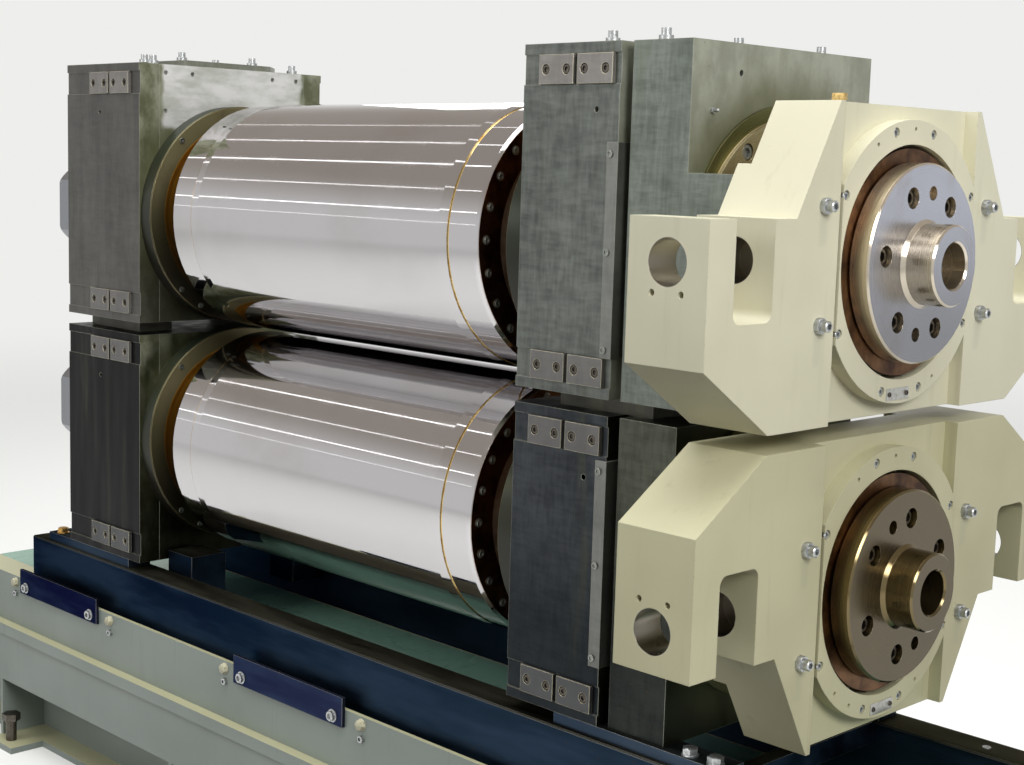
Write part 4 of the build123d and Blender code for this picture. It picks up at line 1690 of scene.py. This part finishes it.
@dataclass(frozen=True)
class Lamp:
    """A soft rectangular light."""

    name: str
    place: tuple[float, float, float]
    aim: tuple[float, float, float]
    size: tuple[float, float]
    watts: float

    def build(self) -> None:
        """Hangs the lamp."""
        data = bpy.data.lights.new(self.name, "AREA")
        data.shape = "RECTANGLE"
        data.size, data.size_y = self.size
        data.energy = self.watts
        lamp = add_object(self.name, data)
        lamp.location = self.place
        way = Vector(self.aim) - Vector(self.place)
        lamp.rotation_euler = way.to_track_quat("-Z", "Y").to_euler()


LAMP_AIM = (0.2, 0.0, 1.0)


@dataclass
class Studio:
    """Pale floor, soft lights and the surroundings that the chrome mirrors."""

    floor_half: float = 40.0
    floor_tone: str = "#e4e4e1"
    floor_bounce: str = "#4a4a48"
    floor_glow: str = "#e9e9e6"
    glow_strength: float = 0.24
    floor_rough: float = 0.75
    fade: tuple[float, float] = (3.0, 12.0)
    horizon: str = "#eeeeec"
    ceiling: str = "#b3aba2"
    climb: tuple[float, float] = (0.11, 0.5)
    daylight: str = "#eef0f0"
    daylight_low: float = 0.15
    daylight_rise: float = 0.65
    lamps: tuple[Lamp, ...] = (
        Lamp("Top", (0.6, -0.8, 5.2), LAMP_AIM, (4.5, 3.0), 150.0),
        Lamp("Key", (5.4, -1.8, 3.6), (0.9, 0.0, 1.2), (2.2, 1.8), 180.0),
        Lamp("Fill", (-1.5, -5.4, 3.2), LAMP_AIM, (3.0, 1.8), 66.0),
        Lamp("Back", (-3.4, 4.0, 3.4), LAMP_AIM, (2.4, 1.6), 60.0),
    )
    strip_place: float = -4.5
    strip_aim: float = 1.2
    strip_length: float = 11.0
    strips: tuple[tuple[float, float, float, float], ...] = (
        (1.33, 5.86, 0.03, 3.0),
        (-0.50, 6.07, 0.04, 6.0),
        (-2.27, 5.55, 0.05, 9.0),
        (-3.73, 4.34, 0.03, 4.0),
        (-4.48, 2.99, 0.04, 6.0),
        (-4.70, 2.16, 0.02, 1.5),
    )

    def floor(self) -> None:
        """A plain pale floor that keeps the object's shadow and fades into the horizon far away."""
        half = self.floor_half
        corners = [(-half, -half, 0), (half, -half, 0), (half, half, 0), (-half, half, 0)]
        mesh = bpy.data.meshes.new("Floor")
        mesh.from_pydata(corners, [], [(0, 1, 2, 3)])
        floor = add_object("Floor", mesh)
        material = bpy.data.materials.new("Pale_Floor")
        tree = empty_tree(material)
        seen = seen_share(tree)
        surface = {
            "Base Color": seen.tones(self.floor_bounce, self.floor_tone),
            "Emission Color": self.floor_glow,
            "Emission Strength": seen * self.glow_strength,
            "Roughness": self.floor_rough,
        }
        shader = add_node(tree, "ShaderNodeBsdfPrincipled", surface)
        place = Value(add_node(tree, "ShaderNodeTexCoord").outputs["Object"])
        reach = place.through("ShaderNodeVectorMath", {0: place}, "Value", operation="LENGTH")
        backdrop = add_node(tree, "ShaderNodeEmission", {"Color": self.horizon, "Strength": 1.0})
        mixed = {0: reach.ramp(*self.fade) * seen, 1: shader.outputs[0], 2: backdrop.outputs[0]}
        whole = add_node(tree, "ShaderNodeMixShader", mixed)
        add_node(tree, "ShaderNodeOutputMaterial", {"Surface": whole.outputs[0]})
        mesh.materials.append(material)

    def world(self) -> None:
        """Soft even light; the camera and mirrors see a pale horizon under a darker ceiling."""
        world = bpy.data.worlds.new("Studio")
        bpy.context.scene.world = world
        tree = empty_tree(world)
        rise = Value(add_node(tree, "ShaderNodeTexCoord").outputs["Generated"]).parts()[2]
        sky = rise.ramp(*self.climb).tones(self.horizon, self.ceiling)
        shown = add_node(tree, "ShaderNodeBackground", {"Color": sky, "Strength": 1.0})
        power = rise.at_least(0.0) * self.daylight_rise + self.daylight_low
        light = add_node(tree, "ShaderNodeBackground", {"Color": self.daylight, "Strength": power})
        parts = {0: seen_share(tree), 1: light.outputs[0], 2: shown.outputs[0]}
        mixed = add_node(tree, "ShaderNodeMixShader", parts)
        add_node(tree, "ShaderNodeOutputWorld", {"Surface": mixed.outputs[0]})

    def build(self) -> None:
        """Sets up the floor, world and lamps, with the strip lamps that the rolls mirror."""
        self.floor()
        self.world()
        for lamp in self.lamps:
            lamp.build()
        for across, height, width, watts in self.strips:
            place = (self.strip_place, across, height)
            aim = (self.strip_place, 0.0, self.strip_aim)
            Lamp(f"Strip_{across}", place, aim, (self.strip_length, width), watts).build()
        bpy.context.scene.view_settings.view_transform = "Standard"


def main() -> None:
    """Builds the pieces in order."""
    logging.basicConfig(level=logging.INFO, format="%(message)s")
    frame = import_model()
    for part in (Rolls(frame), Chocks(frame), Brackets(frame), Stand(frame)):
        part.build()
    PhotoCamera().build()
    Studio().build()


if __name__ == "__main__":
    main()
